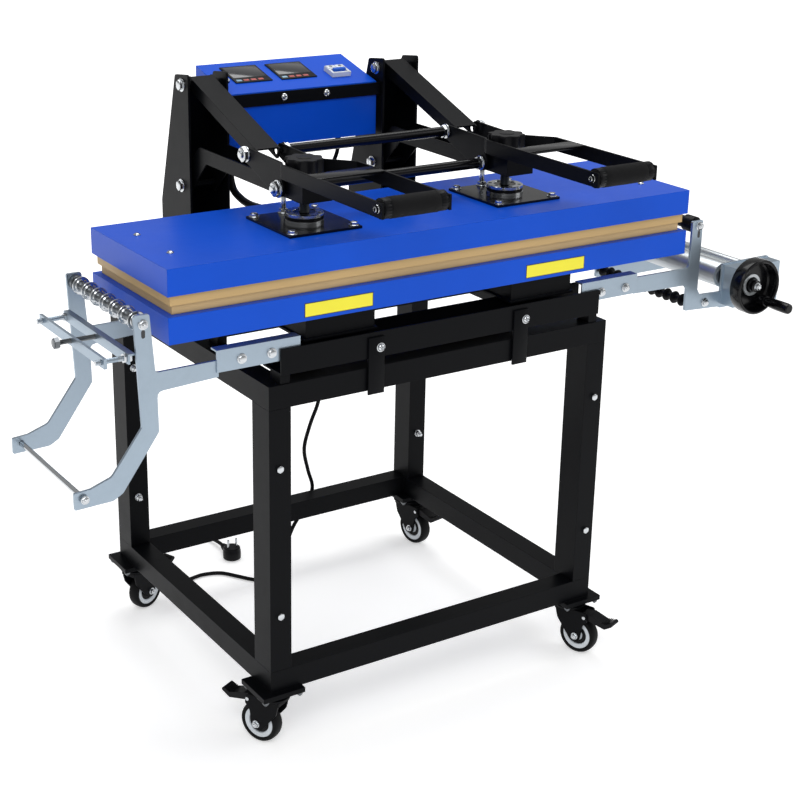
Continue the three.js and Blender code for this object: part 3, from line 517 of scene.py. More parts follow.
def foot_bolts():
    """Bolts through the foot plates."""
    bm = bmesh.new()
    for _, x, y, _ in CASTERS:
        for dx in (-33, 33):
            for dy in (-33, 33):
                put_bolt(bm, at(x + dx, y + dy, 107.8), -Z, 5.2, 4, 6.5, 3)
    piece("foot_plate_bolts", bm, "steel_dark", "base")


def caster_matrix(x, y, turn):
    return Matrix.Translation(at(x, y, 0)) @ Matrix.Rotation(-math.radians(turn), 4, "Z")


def caster_wheels():
    """Tyre, ribbed white hub and axle nut of each caster."""
    for name, x, y, turn in CASTERS:
        frame_of = caster_matrix(x, y, turn)
        hub = frame_of @ Vector((WHEEL_TRAIL * MM, 0, WHEEL_R * MM))
        axis = frame_of.to_3x3() @ Y
        half = 11.7 * MM
        bm = bmesh.new()
        tread = [(28.0, -0.72), (29.5, -0.94), (33.0, -1.0), (35.6, -0.88)]
        tread += [(36.9, -0.6), (37.4, -0.3), (37.5, 0)]
        outer = [(r * MM, h * half) for r, h in tread]
        outer += [(r, -h) for r, h in reversed(outer[:-1])]
        put_turned(bm, outer + [outer[0]], hub, axis, 64)
        tyre = piece(f"tyre_{name}", bm, "tyre", f"wheel_{name}")
        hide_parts(f"caster_wheel_{name}")
        bm = bmesh.new()
        rim = [(4.3, -1.06), (11, -1.06), (12, -0.62), (19.5, -0.55), (20.5, -0.80), (28.4, -0.86), (28.6, 0)]
        ring = [(r * MM, h * half) for r, h in rim]
        ring += [(r, -h) for r, h in reversed(ring[:-1])]
        put_turned(bm, ring + [ring[0]], hub, axis, 64)
        piece(f"wheel_rim_{name}", bm, "white_plastic", f"wheel_{name}")
        bm = bmesh.new()
        disc = [(4.4, 0.66), (5, 0.74), (19.6, 0.66), (19.6, 0.50), (4.4, 0.50)]
        for side in (-1, 1):
            put_turned(bm, [(r * MM, side * h * half) for r, h in disc + disc[:1]], hub, axis, 48)
        piece(f"wheel_cover_{name}", bm, "black_plastic", f"wheel_{name}")
        bm = bmesh.new()
        for side in (-1, 1):
            put_bolt(bm, hub + axis * side * 17.2 * MM, axis * side, 5.4, 4.5, 7.0, 2.5)
        for side in (-1, 1):
            pin = frame_of @ Vector((42 * MM, side * 17.0 * MM, 82 * MM))
            put_bolt(bm, pin, axis * side, 3.6, 2.5, 0)
        piece(f"caster_nuts_{name}", bm, "chrome", f"caster_{name}")
        caster_races(name, frame_of)
        brake_treads(name, frame_of)


def caster_races(name, frame_of):
    """The pressed ball race over each fork."""
    bm = bmesh.new()
    profile = [(0, 92), (24, 92), (30.5, 94.5), (31.5, 98), (28, 100.5), (29.5, 103), (30, 106.8), (0, 106.8)]
    put_turned(bm, [(r * MM, z * MM) for r, z in profile], frame_of.translation, Z, 56)
    piece(f"ball_race_{name}", bm, "black_coat", f"caster_{name}")


def brake_treads(name, frame_of):
    """Ribs across the toe of each brake pedal."""
    bm = bmesh.new()
    for k in range(4):
        low = (78 * MM + k * 3.6 * MM, -11 * MM, 80.6 * MM + k * 1.1 * MM)
        high = (low[0] + 1.6 * MM, 11 * MM, low[2] + 1.6 * MM)
        put_box(bm, low, high, 0.4 * MM, 1, frame_of)
    piece(f"brake_tread_{name}", bm, "black_plastic", f"pedal_{name}")


# ---------- press base ----------
def strap_tabs():
    """Two straps bolted over the front crossbar and the stand's top rail."""
    bm = bmesh.new()
    for x in (-147, 148):
        put_box(bm, at(x - 15.5, -141, 622), at(x + 15.5, -137.2, 720), 0.8 * MM)
    piece("strap_tabs", bm, "black_coat", "base")
    bm = bmesh.new()
    for x in (-140, 157):
        put_socket_bolt(bm, at(x, -141, 702), -Y, 6.5, 4.5, 8)
    piece("strap_tab_bolts", bm, "chrome", "base")


def tie_bar_bolts():
    """The two bolts of the tie bar."""
    bm = bmesh.new()
    for x in (-45, 45):
        put_socket_bolt(bm, at(x, 341, 1026), -Y, 7, 4.5, 0)
    piece("tie_bar_bolts", bm, "chrome", "base")


def pivot_bolts():
    """Headed pins and nuts at the uprights' pivots."""
    bm = bmesh.new()
    for ux in (-UNIT_X, UNIT_X):
        for y, z in (PIVOT_A, PIVOT_D):
            put_bolt(bm, at(ux - 40, y, z), -X, 9.2, 6.5, 12)
            put_bolt(bm, at(ux + 40, y, z), X, 9.2, 7.5, 12, 6)
    piece("upright_pivot_bolts", bm, "chrome", "base")


def marker_plates(sizes):
    """Plain yellow plates on the lower housing's front, in place of printed ones."""
    bm = bmesh.new()
    for x in (-219.5, 217):
        half = sizes.marker_length / MM / 2
        put_box(bm, at(x - half, PLATEN_FRONT - 0.6, 776), at(x + half, PLATEN_FRONT + 0.2, 797), 0.2 * MM, 1)
    piece("marker_plates", bm, "yellow_plate", "base")
    bm = bmesh.new()
    for x in (-219.5, 217):
        half = sizes.marker_length / MM / 2 + 1.3
        put_box(bm, at(x - half, PLATEN_FRONT - 0.35, 774.7), at(x + half, PLATEN_FRONT + 0.2, 798.3))
    piece("marker_borders", bm, "display", "base")


def housing_screws():
    """Small screws on top of the upper housing."""
    bm = bmesh.new()
    for x in (-473, 473):
        for y in (-60, 60):
            put_socket_bolt(bm, at(x, y, PLATEN_TOP), Z, 4.6, 2.4, 5.8)
    piece("upper_housing_screws", bm, "chrome", "upper_platen")


# ---------- control box ----------
def controllers():
    """Two controllers set in the sloped panel: a thin bezel, a dark window and a row of four keys."""
    half_x, half_y = 38, 35.5
    for name, x, along in (("time", -82, 77), ("heat", 13, 76)):
        tilt = Matrix.Translation(panel_point(x, along, 0)) @ Matrix.Rotation(PANEL_TILT, 4, "X")
        bm = bmesh.new()
        low, high = (-half_x * MM, -half_y * MM, 0.1 * MM), (half_x * MM, half_y * MM, 2.2 * MM)
        put_box(bm, low, high, 0.9 * MM, 3, tilt)
        piece(f"{name}_controller", bm, "black_plastic", "base")
        bm = bmesh.new()
        put_box(bm, (-34 * MM, -16 * MM, 2.0 * MM), (34 * MM, 31 * MM, 2.6 * MM), 0.2 * MM, 2, tilt)
        piece(f"{name}_display", bm, "display", "base")
        for k in range(4):
            bm = bmesh.new()
            left = -33.8 + 15 * k
            low, high = (left * MM, -31 * MM, 2.0 * MM), ((left + 10.5) * MM, -24.5 * MM, 3.0 * MM)
            put_box(bm, low, high, 0.4 * MM, 2, tilt)
            finish = "key_blue" if k == 0 else "key_red"
            piece(f"{name}_key_{k + 1}", bm, finish, "base")


def breaker_trim():
    """Raised terminal covers and the seam between the breaker's poles."""
    tilt = Matrix.Translation(panel_point(99, 0, 0)) @ Matrix.Rotation(PANEL_TILT, 4, "X")
    bm = bmesh.new()
    for x in (-19, 1):
        put_box(bm, (x * MM, 54 * MM, 8.4 * MM), ((x + 18) * MM, 65 * MM, 10.4 * MM), 0.7 * MM, 2, tilt)
    put_box(bm, (-17 * MM, 32.8 * MM, 8.4 * MM), (17 * MM, 35.6 * MM, 9.8 * MM), 0.5 * MM, 2, tilt)
    piece("breaker_covers", bm, "white_plastic", "base")
    bm = bmesh.new()
    for x in (-10, 10):
        foot, top = tilt @ Vector((x * MM, 59.5 * MM, 10.2 * MM)), tilt @ Vector((x * MM, 59.5 * MM, 10.7 * MM))
        put_rod(bm, foot, top, 3.2 * MM, 20, 0.1 * MM)
    piece("breaker_screws", bm, "steel_dark", "base")


# ---------- platens and mechanism ----------
def lock_rings():
    """Slotted chrome ring round each pressure screw, with the plate's bolts and guide stud."""
    for side, ux in (("left", -UNIT_X), ("right", UNIT_X)):
        centre = at(ux, SPINDLE_Y, 891.4)
        bm = bmesh.new()
        profile = [(9.3, 0), (32.6, 0), (32.6, 4.2), (29.5, 5.2), (29.5, 9)]
        profile += [(32.2, 10), (32.2, 14.6), (31.2, 15.4)]
        profile += [(20, 15.4), (18.5, 13.4), (9.3, 13.4), (9.3, 0)]
        put_turned(bm, [(r * MM, h * MM) for r, h in profile], centre, Z, 72)
        piece(f"lock_ring_{side}", bm, "chrome", "upper_platen")
        # Six dark discs on the ring's top: painted shade standing for its holes.
        bm = bmesh.new()
        for k in range(6):
            turn = math.radians(60 * k + 18)
            spot = centre + Vector((math.cos(turn), math.sin(turn), 0)) * 25.5 * MM
            put_rod(bm, spot + Z * 15.2 * MM, spot + Z * 15.9 * MM, 3.1 * MM, 20, 0.2 * MM)
        piece(f"lock_ring_hole_shade_{side}", bm, "steel_dark", "upper_platen")
        bm = bmesh.new()
        for dx, dy in ((-60, -69), (55, -69), (-60, 57), (55, 57)):
            put_bolt(bm, at(ux + dx, dy, 891.3), Z, 6.6, 5, 9)
        put_rod(bm, at(ux - 4, 58, 891), at(ux - 4, 58, 921.5), 4.6 * MM, 24, 0.5 * MM)
        put_bolt(bm, at(ux - 4, 58, 891.3), Z, 8, 6, 10)
        piece(f"screw_plate_bolts_{side}", bm, "chrome", "upper_platen")


def knob_outline(radius, lobes=8, steps=96):
    """A wavy round: eight shallow lobes."""
    points = []
    for k in range(steps):
        turn = math.tau * k / steps
        r = radius * (0.92 + 0.08 * math.cos(lobes * turn))
        points.append((r * math.cos(turn), r * math.sin(turn)))
    return points


def pressure_knobs(sizes):
    """Threaded screw and lobed knob of each press unit."""
    for side, ux in (("left", -UNIT_X), ("right", UNIT_X)):
        bm = bmesh.new()
        foot = at(ux, SPINDLE_Y, 974)
        put_plate(bm, knob_outline(sizes.knob_radius), Matrix.Translation(foot), 22 * MM, 2.6 * MM)
        put_rod(bm, foot + Z * 21.5 * MM, foot + Z * 22.6 * MM, 13 * MM, 40, 0.4 * MM)
        put_turned(bm, [(r * MM, h * MM) for r, h in ((0, -12), (13, -12), (15, 0.5), (0, 0.5))], foot, Z, 40)
        knob = piece(f"pressure_knob_{side}", bm, "black_plastic", f"spindle_{side}")
        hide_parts(f"pressure_spindle_{side}")
        bm = bmesh.new()
        put_thread(bm, at(ux, SPINDLE_Y, 892), at(ux, SPINDLE_Y, 964), 8.5 * MM, 2.0)
        piece(f"pressure_screw_{side}", bm, "steel_dark", f"spindle_{side}")


def cross_rods():
    """Polished black rods that tie the two press units, with a washer at each end."""
    rods = (("lower", PIVOT_C, UNIT_X - 28.3, "arm"), ("upper", PIVOT_B, UNIT_X - 35.3, "handle"))
    for name, (y, z), reach, body in rods:
        bm = bmesh.new()
        put_rod(bm, at(-reach, y, z), at(reach, y, z), 9 * MM, 48)
        rod = piece(f"{name}_tie_rod", bm, "black_gloss", body)
        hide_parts(f"cross_rod_{name}")
        bm = bmesh.new()
        collar = UNIT_X - 36
        for s in (-1, 1):
            put_rod(bm, at(s * collar, y, z), at(s * (collar - 2.2), y, z), 13 * MM, 40, 0.5 * MM)
            put_rod(bm, at(s * (collar - 2.2), y, z), at(s * (collar - 9), y, z), 11.6 * MM, 6)
        piece(f"{name}_tie_rod_nuts", bm, "chrome", body)


def linkage_bolts():
    """Pivot heads on the outer faces, at B on the handles and at C on the arms.

    The washer at B is the smaller, because B comes down close to the upper housing when the press opens.
    """
    for name, (y, z), body, washer in (("handle", PIVOT_B, "handle", 13.6), ("arm", PIVOT_C, "arm", 15)):
        bm = bmesh.new()
        for s in (-1, 1):
            put_rod(bm, at(s * (UNIT_X + 35.1), y, z), at(s * (UNIT_X + 37), y, z), washer * MM, 40, 0.4 * MM)
            put_bolt(bm, at(s * (UNIT_X + 37), y, z), X * s, 13.2, 8, 0, 5)
        piece(f"{name}_pivot_bolts", bm, "chrome", body)


def handle_grips(sizes):
    """Foam sleeve with an end cap at each bar, end bolts and the flat cross strap of each handle."""
    for side, ux in (("left", -UNIT_X), ("right", UNIT_X)):
        left, right = ux - 42 + 4.4, ux + 82 - 4.4
        r = sizes.grip_radius / MM
        cap = 15
        long = right - left
        sleeve = [(0, cap - 1), (r - 1.2, cap - 1), (r, cap + 0.6)]
        sleeve += [(r + 0.12 * math.sin(k * 1.7), cap + (long - 2 * cap) * k / 8) for k in range(1, 8)]
        sleeve += [(r, long - cap - 0.6), (r - 1.2, long - cap + 1), (0, long - cap + 1)]
        bm = bmesh.new()
        put_turned(bm, [(a * MM, b * MM) for a, b in sleeve], at(left, -287, 977), X, 64)
        piece(f"foam_grip_{side}", bm, "grip_foam", "handle", 50)
        bm = bmesh.new()
        end = [(0, 0), (r - 3, 0), (r - 0.9, 1.6), (r - 0.6, 4), (r - 0.8, cap - 1.4), (r - 1.6, cap), (0, cap)]
        for start, way in ((left, X), (right, -X)):
            put_turned(bm, [(a * MM, b * MM) for a, b in end], at(start, -287, 977), way, 64)
        piece(f"grip_caps_{side}", bm, "black_plastic", "handle", 50)
        bm = bmesh.new()
        put_socket_bolt(bm, at(ux - 42.2, -287, 977), -X, 7.2, 4.6, 0)
        put_socket_bolt(bm, at(ux + 82.2, -287, 977), X, 7.2, 4.6, 0)
        piece(f"grip_bolts_{side}", bm, "chrome", "handle")
        bm = bmesh.new()
        put_box(bm, at(ux - 41.6, -119, 983.4), at(ux + 81.6, -81, 988.2), 0.8 * MM)
        piece(f"cross_strap_{side}", bm, "black_gloss", "handle")


# ---------- cables ----------
def smooth_route(points, per_span=6):
    """A centripetal curve through the points, sampled evenly in each span."""
    pts = [at(*p) for p in points]
    pts = [pts[0] * 2 - pts[1]] + pts + [pts[-1] * 2 - pts[-2]]
    out = []
    for p0, p1, p2, p3 in zip(pts, pts[1:], pts[2:], pts[3:]):
        t0 = 0.0
        t1 = t0 + (p1 - p0).length ** 0.5
        t2 = t1 + (p2 - p1).length ** 0.5
        t3 = t2 + (p3 - p2).length ** 0.5
        for k in range(per_span):
            t = t1 + (t2 - t1) * k / per_span
            a1 = p0 * ((t1 - t) / (t1 - t0)) + p1 * ((t - t0) / (t1 - t0))
            a2 = p1 * ((t2 - t) / (t2 - t1)) + p2 * ((t - t1) / (t2 - t1))
            a3 = p2 * ((t3 - t) / (t3 - t2)) + p3 * ((t - t2) / (t3 - t2))
            b1 = a1 * ((t2 - t) / (t2 - t0)) + a2 * ((t - t0) / (t2 - t0))
            b2 = a2 * ((t3 - t) / (t3 - t1)) + a3 * ((t - t1) / (t3 - t1))
            out.append(b1 * ((t2 - t) / (t2 - t1)) + b2 * ((t - t1) / (t2 - t1)))
    out.append(pts[-2])
    return out


def tube(name, route, radius, finish, body):
    """A round cable as a curve of one open spline, with its ends filled."""
    data = bpy.data.curves.new(name, "CURVE")
    data.dimensions = "3D"
    data.bevel_depth = radius
    data.bevel_resolution = 6
    data.use_fill_caps = True
    spline = data.splines.new("POLY")
    spline.points.add(len(route) - 1)
    for target, point in zip(spline.points, route):
        target.co = (*point, 1)
    data.materials.append(finish_material(finish))
    obj = bpy.data.objects.new(name, data)
    bpy.context.scene.collection.objects.link(obj)
    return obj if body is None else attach(obj, body)


def mains_plug():
    """Angled two-pin plug lying on its back: ribbed boot, round body with flats, pins up."""
    bm = bmesh.new()
    x, y = -54, 562
    body = [(0, 0.6), (17, 0.6), (19, 2.5), (19.3, 10), (19, 19), (18.2, 21), (17.6, 26), (16, 27.4), (0, 27.4)]
    put_turned(bm, [(r * MM, h * MM) for r, h in body], at(x, y - 2, 0), Z, 56)
    boot = [(0, 0), (10.5, 0), (10.5, 3), (9.5, 8)]
    for k in range(4):
        z = 10 + 4.4 * k
        r = 9.2 - 0.9 * k
        boot += [(r, z), (r, z + 2.6), (r - 1.4, z + 2.9), (r - 1.4, z + 4.2)]
    boot += [(4.6, 28), (0, 28)]
    put_turned(bm, [(r * MM, h * MM) for r, h in boot], at(x, y + 12, 12), Y, 32)
    plug = piece("mains_plug_body", bm, "black_plastic", "base")
    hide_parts("mains_plug")
    bm = bmesh.new()
    for s in (-1, 1):
        foot = at(x + 9.5 * s, y - 4, 27)
        pin = [(0, 0), (2.4, 0), (2.4, 17), (1.6, 18.8), (0, 19)]
        put_turned(bm, [(r * MM, h * MM) for r, h in pin], foot, Z, 24)
    pins = piece("mains_plug_pins", bm, "chrome", "base")
    return plug, pins


def strain_relief():
    """Gland nut under the control box and the tapered boot round the lead."""
    bm = bmesh.new()
    top = at(128, 436, 937.4)
    boot = [(0, 0), (9.4, 0), (9.4, 3), (8.2, 3.6)]
    for k in range(5):
        z = 5 + 4.6 * k
        r = 8.0 - 0.7 * k
        boot += [(r, z), (r, z + 2.8), (r - 1.2, z + 3.1), (r - 1.2, z + 4.4)]
    boot += [(4.5, 30), (0, 30)]
    put_turned(bm, [(r * MM, h * MM) for r, h in boot], top, -Z, 32)
    put_rod(bm, top, top - Z * 6 * MM, 12.5 * MM, 6)
    gland = piece("lead_strain_relief", bm, "black_plastic", "base")
    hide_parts("mains_gland")


def mains_lead():
    """The mains lead and its plug."""
    route = smooth_route(LEAD_ROUTE)
    lead = tube("mains_lead_cable", route, LEAD_R * MM, "cable_jacket", "base")
    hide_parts("mains_lead")
    length = sum((b - a).length for a, b in zip(route, route[1:]))
    mains_plug()


def heater_conduit():
    """The heater's cable: a tube between the control box and the upper housing, with a gland at each end."""
    bm = bmesh.new()
    route = smooth_route(CONDUIT_ROUTE, 8)
    sides, rings = 20, []
    side = X.copy()
    for i, point in enumerate(route):
        ahead = route[min(i + 1, len(route) - 1)] - route[max(i - 1, 0)]
        ahead.normalize()
        side = (side - ahead * side.dot(ahead)).normalized()
        up = ahead.cross(side)
        ring = []
        for k in range(sides):
            turn = math.tau * k / sides
            spot = point + (side * math.cos(turn) + up * math.sin(turn)) * CONDUIT_R * MM
            ring.append(bm.verts.new(spot))
        rings.append(ring)
    loops = [[bm.edges.new((r[k], r[(k + 1) % sides])) for k in range(sides)] for r in rings]
    for a, b in zip(loops, loops[1:]):
        bmesh.ops.bridge_loops(bm, edges=a + b)
    for ring in (rings[0], rings[-1]):
        bm.faces.new(ring)
    bmesh.ops.recalc_face_normals(bm, faces=bm.faces)
    mesh = bpy.data.meshes.new("heater_conduit")
    bm.to_mesh(mesh)
    bm.free()
    for polygon in mesh.polygons:
        polygon.use_smooth = True
    mesh.set_sharp_from_angle(angle=math.radians(50))
    mesh.materials.append(FINISHES["cable_jacket"].material)
    conduit = bpy.data.objects.new("heater_conduit", mesh)
    bpy.context.scene.collection.objects.link(conduit)
    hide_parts("heater_cable")
    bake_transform(conduit)
    bm = bmesh.new()
    put_rod(bm, at(-180, 140.7, 866), at(-180, 149, 866), 10.5 * MM, 6)
    put_rod(bm, at(-180, 149, 866), at(-180, 156, 866), 9.3 * MM, 32, 1 * MM)
    piece("conduit_gland_platen", bm, "black_plastic", "upper_platen")
    bm = bmesh.new()
    put_rod(bm, at(-148, 364, 937.8), at(-148, 364, 930), 10.5 * MM, 6)
    put_rod(bm, at(-148, 364, 930), at(-148, 364, 924), 9.3 * MM, 32, 1 * MM)
    piece("conduit_gland_box", bm, "black_plastic", "base")


# ---------- feeder ----------
def feeder_rollers():
    """Guide shaft with its thin rings, and the feeder's bolts."""
    x, z = FEED_ROLL
    reach = 124
    bm = bmesh.new()
    put_rod(bm, at(x, -reach, z), at(x, reach, z), 8 * MM, 40)
    for s in (-1, 1):
        put_rod(bm, at(x, s * reach, z), at(x, s * (reach - 9), z), 12 * MM, 40, 1 * MM)
    shaft = piece("guide_shaft", bm, "steel_dark", "feeder_roller")
    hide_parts("feeder_roller")
    bm = bmesh.new()
    ring = [(7.8, -3.2), (9.6, -3.2), (11, -1.9), (14.2, -1.6), (15, -0.8), (15, 0.8), (14.2, 1.6), (11, 1.9)]
    ring += [(9.6, 3.2), (7.8, 3.2), (7.8, -3.2)]
    for k in range(7):
        y = -reach + 17 + k * (2 * reach - 40) / 6
        put_turned(bm, [(r * MM, h * MM) for r, h in ring], at(x, y, z), Y, 48)
    piece("guide_rings", bm, "chrome", "feeder_roller")
    bm = bmesh.new()
    for s in (-1, 1):
        put_bolt(bm, at(x, s * 130, z), Y * s, 6.6, 4.6, 8.2, 3)
        put_bolt(bm, at(SUPPLY[0], s * 134, SUPPLY[1]), Y * s, 5.6, 4, 7, 2)
        for bolt_x in (-391, -338):
            put_bolt(bm, at(bolt_x, s * 132.8, 724), Y * s, 6.4, 4.6, 8.4)
    piece("feeder_bolts", bm, "chrome", "base")
    # Painted shade in the end of each feeder bracket's slot.
    bracket_slot_shade("feeder_slot_shade", x, z - 15)


def bracket_slot_shade(name, x, z):
    """Painted shade: a thin dark plate in the end of the adjusting slot under a bracket's top bolt, on both
    brackets.
    """
    outline = []
    for k in range(17):
        turn = math.pi * (k if k < 9 else k - 1) / 8
        lift = 3.5 if k < 9 else -3.5
        outline.append((3.2 * MM * math.cos(turn), (3.2 * math.sin(turn) + lift) * MM))
    bm = bmesh.new()
    for s in (-1, 1):
        frame_of = Matrix.Translation(at(x, s * 129.9, z)) @ Matrix.Rotation(-s * math.pi / 2, 4, "X")
        put_plate(bm, outline, frame_of, 0.25 * MM)
    piece(name, bm, "display", "base")


def clamp_details():
    """Nuts and threads on the clamp's guide rods, the end tabs and the hexagon screw."""
    bm = bmesh.new()
    z = 752.5
    for s in (-1, 1):
        put_thread(bm, at(-626, s * 115, z), at(-617.6, s * 115, z), 4.2 * MM)
        put_rod(bm, at(-582, s * 115, z), at(-577.2, s * 115, z), 7.4 * MM, 6)
        put_rod(bm, at(-573.8, s * 115, z), at(-569, s * 115, z), 7.4 * MM, 6)
        put_thread(bm, at(-590, s * 115, z), at(-582, s * 115, z), 4.25 * MM)
    piece("clamp_rod_nuts", bm, "chrome", "base")
    bm = bmesh.new()
    put_thread(bm, at(-637, 0, z), at(-566, 0, z), 4.1 * MM)
    put_rod(bm, at(-644.4, 0, z), at(-636.6, 0, z), 9.4 * MM, 6)
    put_rod(bm, at(-645.6, 0, z), at(-644, 0, z), 7.4 * MM, 24, 0.5 * MM)
    screw = piece("clamp_hex_screw", bm, "steel_dark", "clamp_screw")
    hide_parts("clamp_screw")


# ---------- winder ----------
def winder_tubes():
    """Take-up tube, idler tube and top roller, each turned round with its end plugs."""
    x, z = TAKEUP
    bm = bmesh.new()
    put_rod(bm, at(x, -120, z), at(x, 120, z), 23.5 * MM, 72, 0.8 * MM)
    takeup = piece("takeup_tube", bm, "aluminium", "takeup")
    bm = bmesh.new()
    put_rod(bm, at(x, -193, z), at(x, 136, z), 6 * MM, 32, 0.5 * MM)
    for s in (-1, 1):
        put_rod(bm, at(x, s * 119, z), at(x, s * 122.5, z), 17 * MM, 40, 0.6 * MM)
    shaft = piece("takeup_shaft", bm, "steel_dark", "takeup")
    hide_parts("takeup_roller")
    bm = bmesh.new()
    put_rod(bm, at(715, -120, 709), at(715, 120, 709), 8 * MM, 48, 0.8 * MM)
    idler = piece("idler_tube", bm, "aluminium", "idler_roller")
    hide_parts("idler_roller")
    bm = bmesh.new()
    profile = [(0, -120), (14, -120), (15, -118.5), (15, -96), (13.6, -94.5), (11, -94.5)]
    profile += [(11, 94.5), (13.6, 94.5)]
    profile += [(15, 96), (15, 118.5), (14, 120), (0, 120)]
    put_turned(bm, [(r * MM, h * MM) for r, h in profile], at(559.5, 0, 812.5), Y, 48)
    roller = piece("top_guide_roller", bm, "black_plastic", "winder_top_roller")
    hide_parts("winder_top_roller")
    return shaft


def lower_roller():
    """Fixed ringed rod under the winder's arms."""
    bm = bmesh.new()
    profile = [(0, -124.5), (6, -124.5)]
    for k in range(12):
        y = -112 + 20.4 * k
        profile += [(6, y - 3), (11, y - 2.2), (12, y), (11, y + 2.2), (6, y + 3)]
    profile += [(6, 124.5), (0, 124.5)]
    put_turned(bm, [(r * MM, h * MM) for r, h in profile], at(549, 0, 668), Y, 40)
    piece("lower_ringed_rod", bm, "black_plastic", "base")


def winder_bolts():
    """Bolts of the winder's brackets and bearing housing."""
    bm = bmesh.new()
    for s in (-1, 1):
        for x, z in ((331, 722), (387, 722), (589, 662), (559.5, 812.5)):
            y = 132.8 if x < 400 else 130
            put_bolt(bm, at(x, s * y, z), Y * s, 6.4, 4.6, 8.4, 2)
    put_bolt(bm, at(745, -143, 700), X, 6.4, 5, 8.4, 5)
    put_bolt(bm, at(715, 130, 709), Y, 7, 5, 9.5, 2)
    put_bolt(bm, at(640, 136, 705.5), Y, 7, 5, 9, 2)
    piece("winder_bolts", bm, "chrome", "base")
    # Painted shade in the end of each winder bracket's slot.
    bracket_slot_shade("winder_slot_shade", 559.5, 797)


def handwheel():
    """Deep dished wheel with a bright ring and nut at its hub, and the pin of its turning grip."""
    x, z = TAKEUP
    front = at(x, WHEEL_FRONT, z)
    depth = WHEEL_BACK - WHEEL_FRONT
    dish = [(0, depth - 4), (41, depth - 4), (44, depth - 6.5), (44.8, 4), (45.4, 1.6), (47.6, 0), (50, 0.4)]
    dish += [(51.6, 2), (52, 5), (52, depth - 3.5), (51, depth - 1), (48.5, depth), (0, depth)]
    bm = bmesh.new()
    put_turned(bm, [(r * MM, h * MM) for r, h in dish], front, Y, 96)
    hub = [(0, 7), (9, 7), (11, 8.5), (12.5, depth - 4.2), (0, depth - 4.2)]
    put_turned(bm, [(r * MM, h * MM) for r, h in hub], front, Y, 48)
    gx, gz = GRIP
    put_rod(bm, at(gx, WHEEL_FRONT, gz), at(gx, WHEEL_BACK - 3, gz), 10 * MM, 40, 1.2 * MM)
    wheel = piece("handwheel_body", bm, "black_gloss", "takeup")
    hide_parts("handwheel")
    bm = bmesh.new()
    ring = [(14.5, depth - 5.4), (15.2, depth - 6.4), (20.4, depth - 6.4), (21, depth - 5.6), (21, depth - 4)]
    ring += [(14.5, depth - 4), (14.5, depth - 5.4)]
    put_turned(bm, [(r * MM, h * MM) for r, h in ring], front, Y, 64)
    piece("handwheel_ring", bm, "aluminium", "takeup")
    bm = bmesh.new()
    put_bolt(bm, front + Y * 7 * MM, -Y, 6.2, 4.4, 8.0, 3)
    piece("handwheel_nut", bm, "chrome", "takeup")
    grip = [(0, -0.4), (7.6, -0.4), (8.6, 2), (9.2, 12), (10, 26), (10, 50), (9.2, 54.5), (7.5, 56), (0, 56)]
    bm = bmesh.new()
    put_turned(bm, [(r * MM, h * MM) for r, h in grip], at(gx, WHEEL_FRONT - 0.6, gz), -Y, 48)
    turned = piece("crank_grip_body", bm, "black_gloss", "crank_grip")
    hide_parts("crank_grip")


# ---------- stage ----------
def floor_and_lights():
    """A pale floor, a pale world and three soft lamps."""
    bm = bmesh.new()
    bmesh.ops.create_grid(bm, x_segments=1, y_segments=1, size=30)
    mesh = bpy.data.meshes.new("studio_floor")
    bm.to_mesh(mesh)
    bm.free()
    mesh.transform(Matrix.Translation((0, 0, -0.0002)))
    floor = bpy.data.objects.new("studio_floor", mesh)
    pale = Finish("pale_floor", (0.93, 0.93, 0.93), 0.9, specular=0.1)
    depth = pale.node("ShaderNodeSeparateXYZ", {}, {"Vector": pale.place}, "Y")
    limits = {"Value": depth, "From Min": 0.9, "From Max": 3.0}
    far = pale.node("ShaderNodeMapRange", {}, limits, "Result")
    pale.put("Emission Color", pale.blend(far, (0.42, 0.42, 0.42, 1), (1, 1, 1, 1)))
    pale.put("Emission Strength", 1.0)
    mesh.materials.append(pale.material)
    bpy.context.scene.collection.objects.link(floor)
    world = bpy.data.worlds.new("pale_room")
    world.use_nodes = True
    world.node_tree.nodes["Background"].inputs["Color"].default_value = (1, 1, 1, 1)
    world.node_tree.nodes["Background"].inputs["Strength"].default_value = 0.40
    bpy.context.scene.world = world
    middle = at(0, 0, 700)
    lamps = (
        ("key_lamp", (-2.0, -2.6, 2.6), 2.0, 60),
        ("fill_lamp", (2.8, -1.6, 1.6), 2.0, 26),
        ("top_lamp", (0.6, 0.9, 3.0), 2.4, 62),
    )
    for name, offset, size, power in lamps:
        light = bpy.data.lights.new(name, "AREA")
        light.shape = "SQUARE"
        light.size = size
        light.energy = power
        lamp = bpy.data.objects.new(name, light)
        lamp.location = middle + Vector(offset)
        lamp.rotation_euler = (-Vector(offset)).to_track_quat("-Z", "Y").to_euler()
        bpy.context.scene.collection.objects.link(lamp)


def camera():
    """A long lens a little above the press, from its front left."""
    data = bpy.data.cameras.new("studio_camera")
    data.sensor_width = 36
    data.lens = 72.36
    data.shift_x = 0.038
    data.shift_y = -0.0402
    data.clip_end = 100
    cam = bpy.data.objects.new("studio_camera", data)
    yaw, pitch, roll = (math.radians(a) for a in (32.736, 19.673, 0.863))
    ahead = Vector((math.sin(yaw) * math.cos(pitch), math.cos(yaw) * math.cos(pitch), -math.sin(pitch)))
    level = Vector((math.cos(yaw), -math.sin(yaw), 0))
    above = level.cross(ahead)
    right = level * math.cos(roll) + above * math.sin(roll)
    up = above * math.cos(roll) - level * math.sin(roll)
    turn = Matrix((right, up, -ahead)).transposed().to_4x4()
    cam.matrix_world = Matrix.Translation(at(-1493.5, -2213.8, 1550.9)) @ turn
    bpy.context.scene.collection.objects.link(cam)
    bpy.context.scene.camera = cam


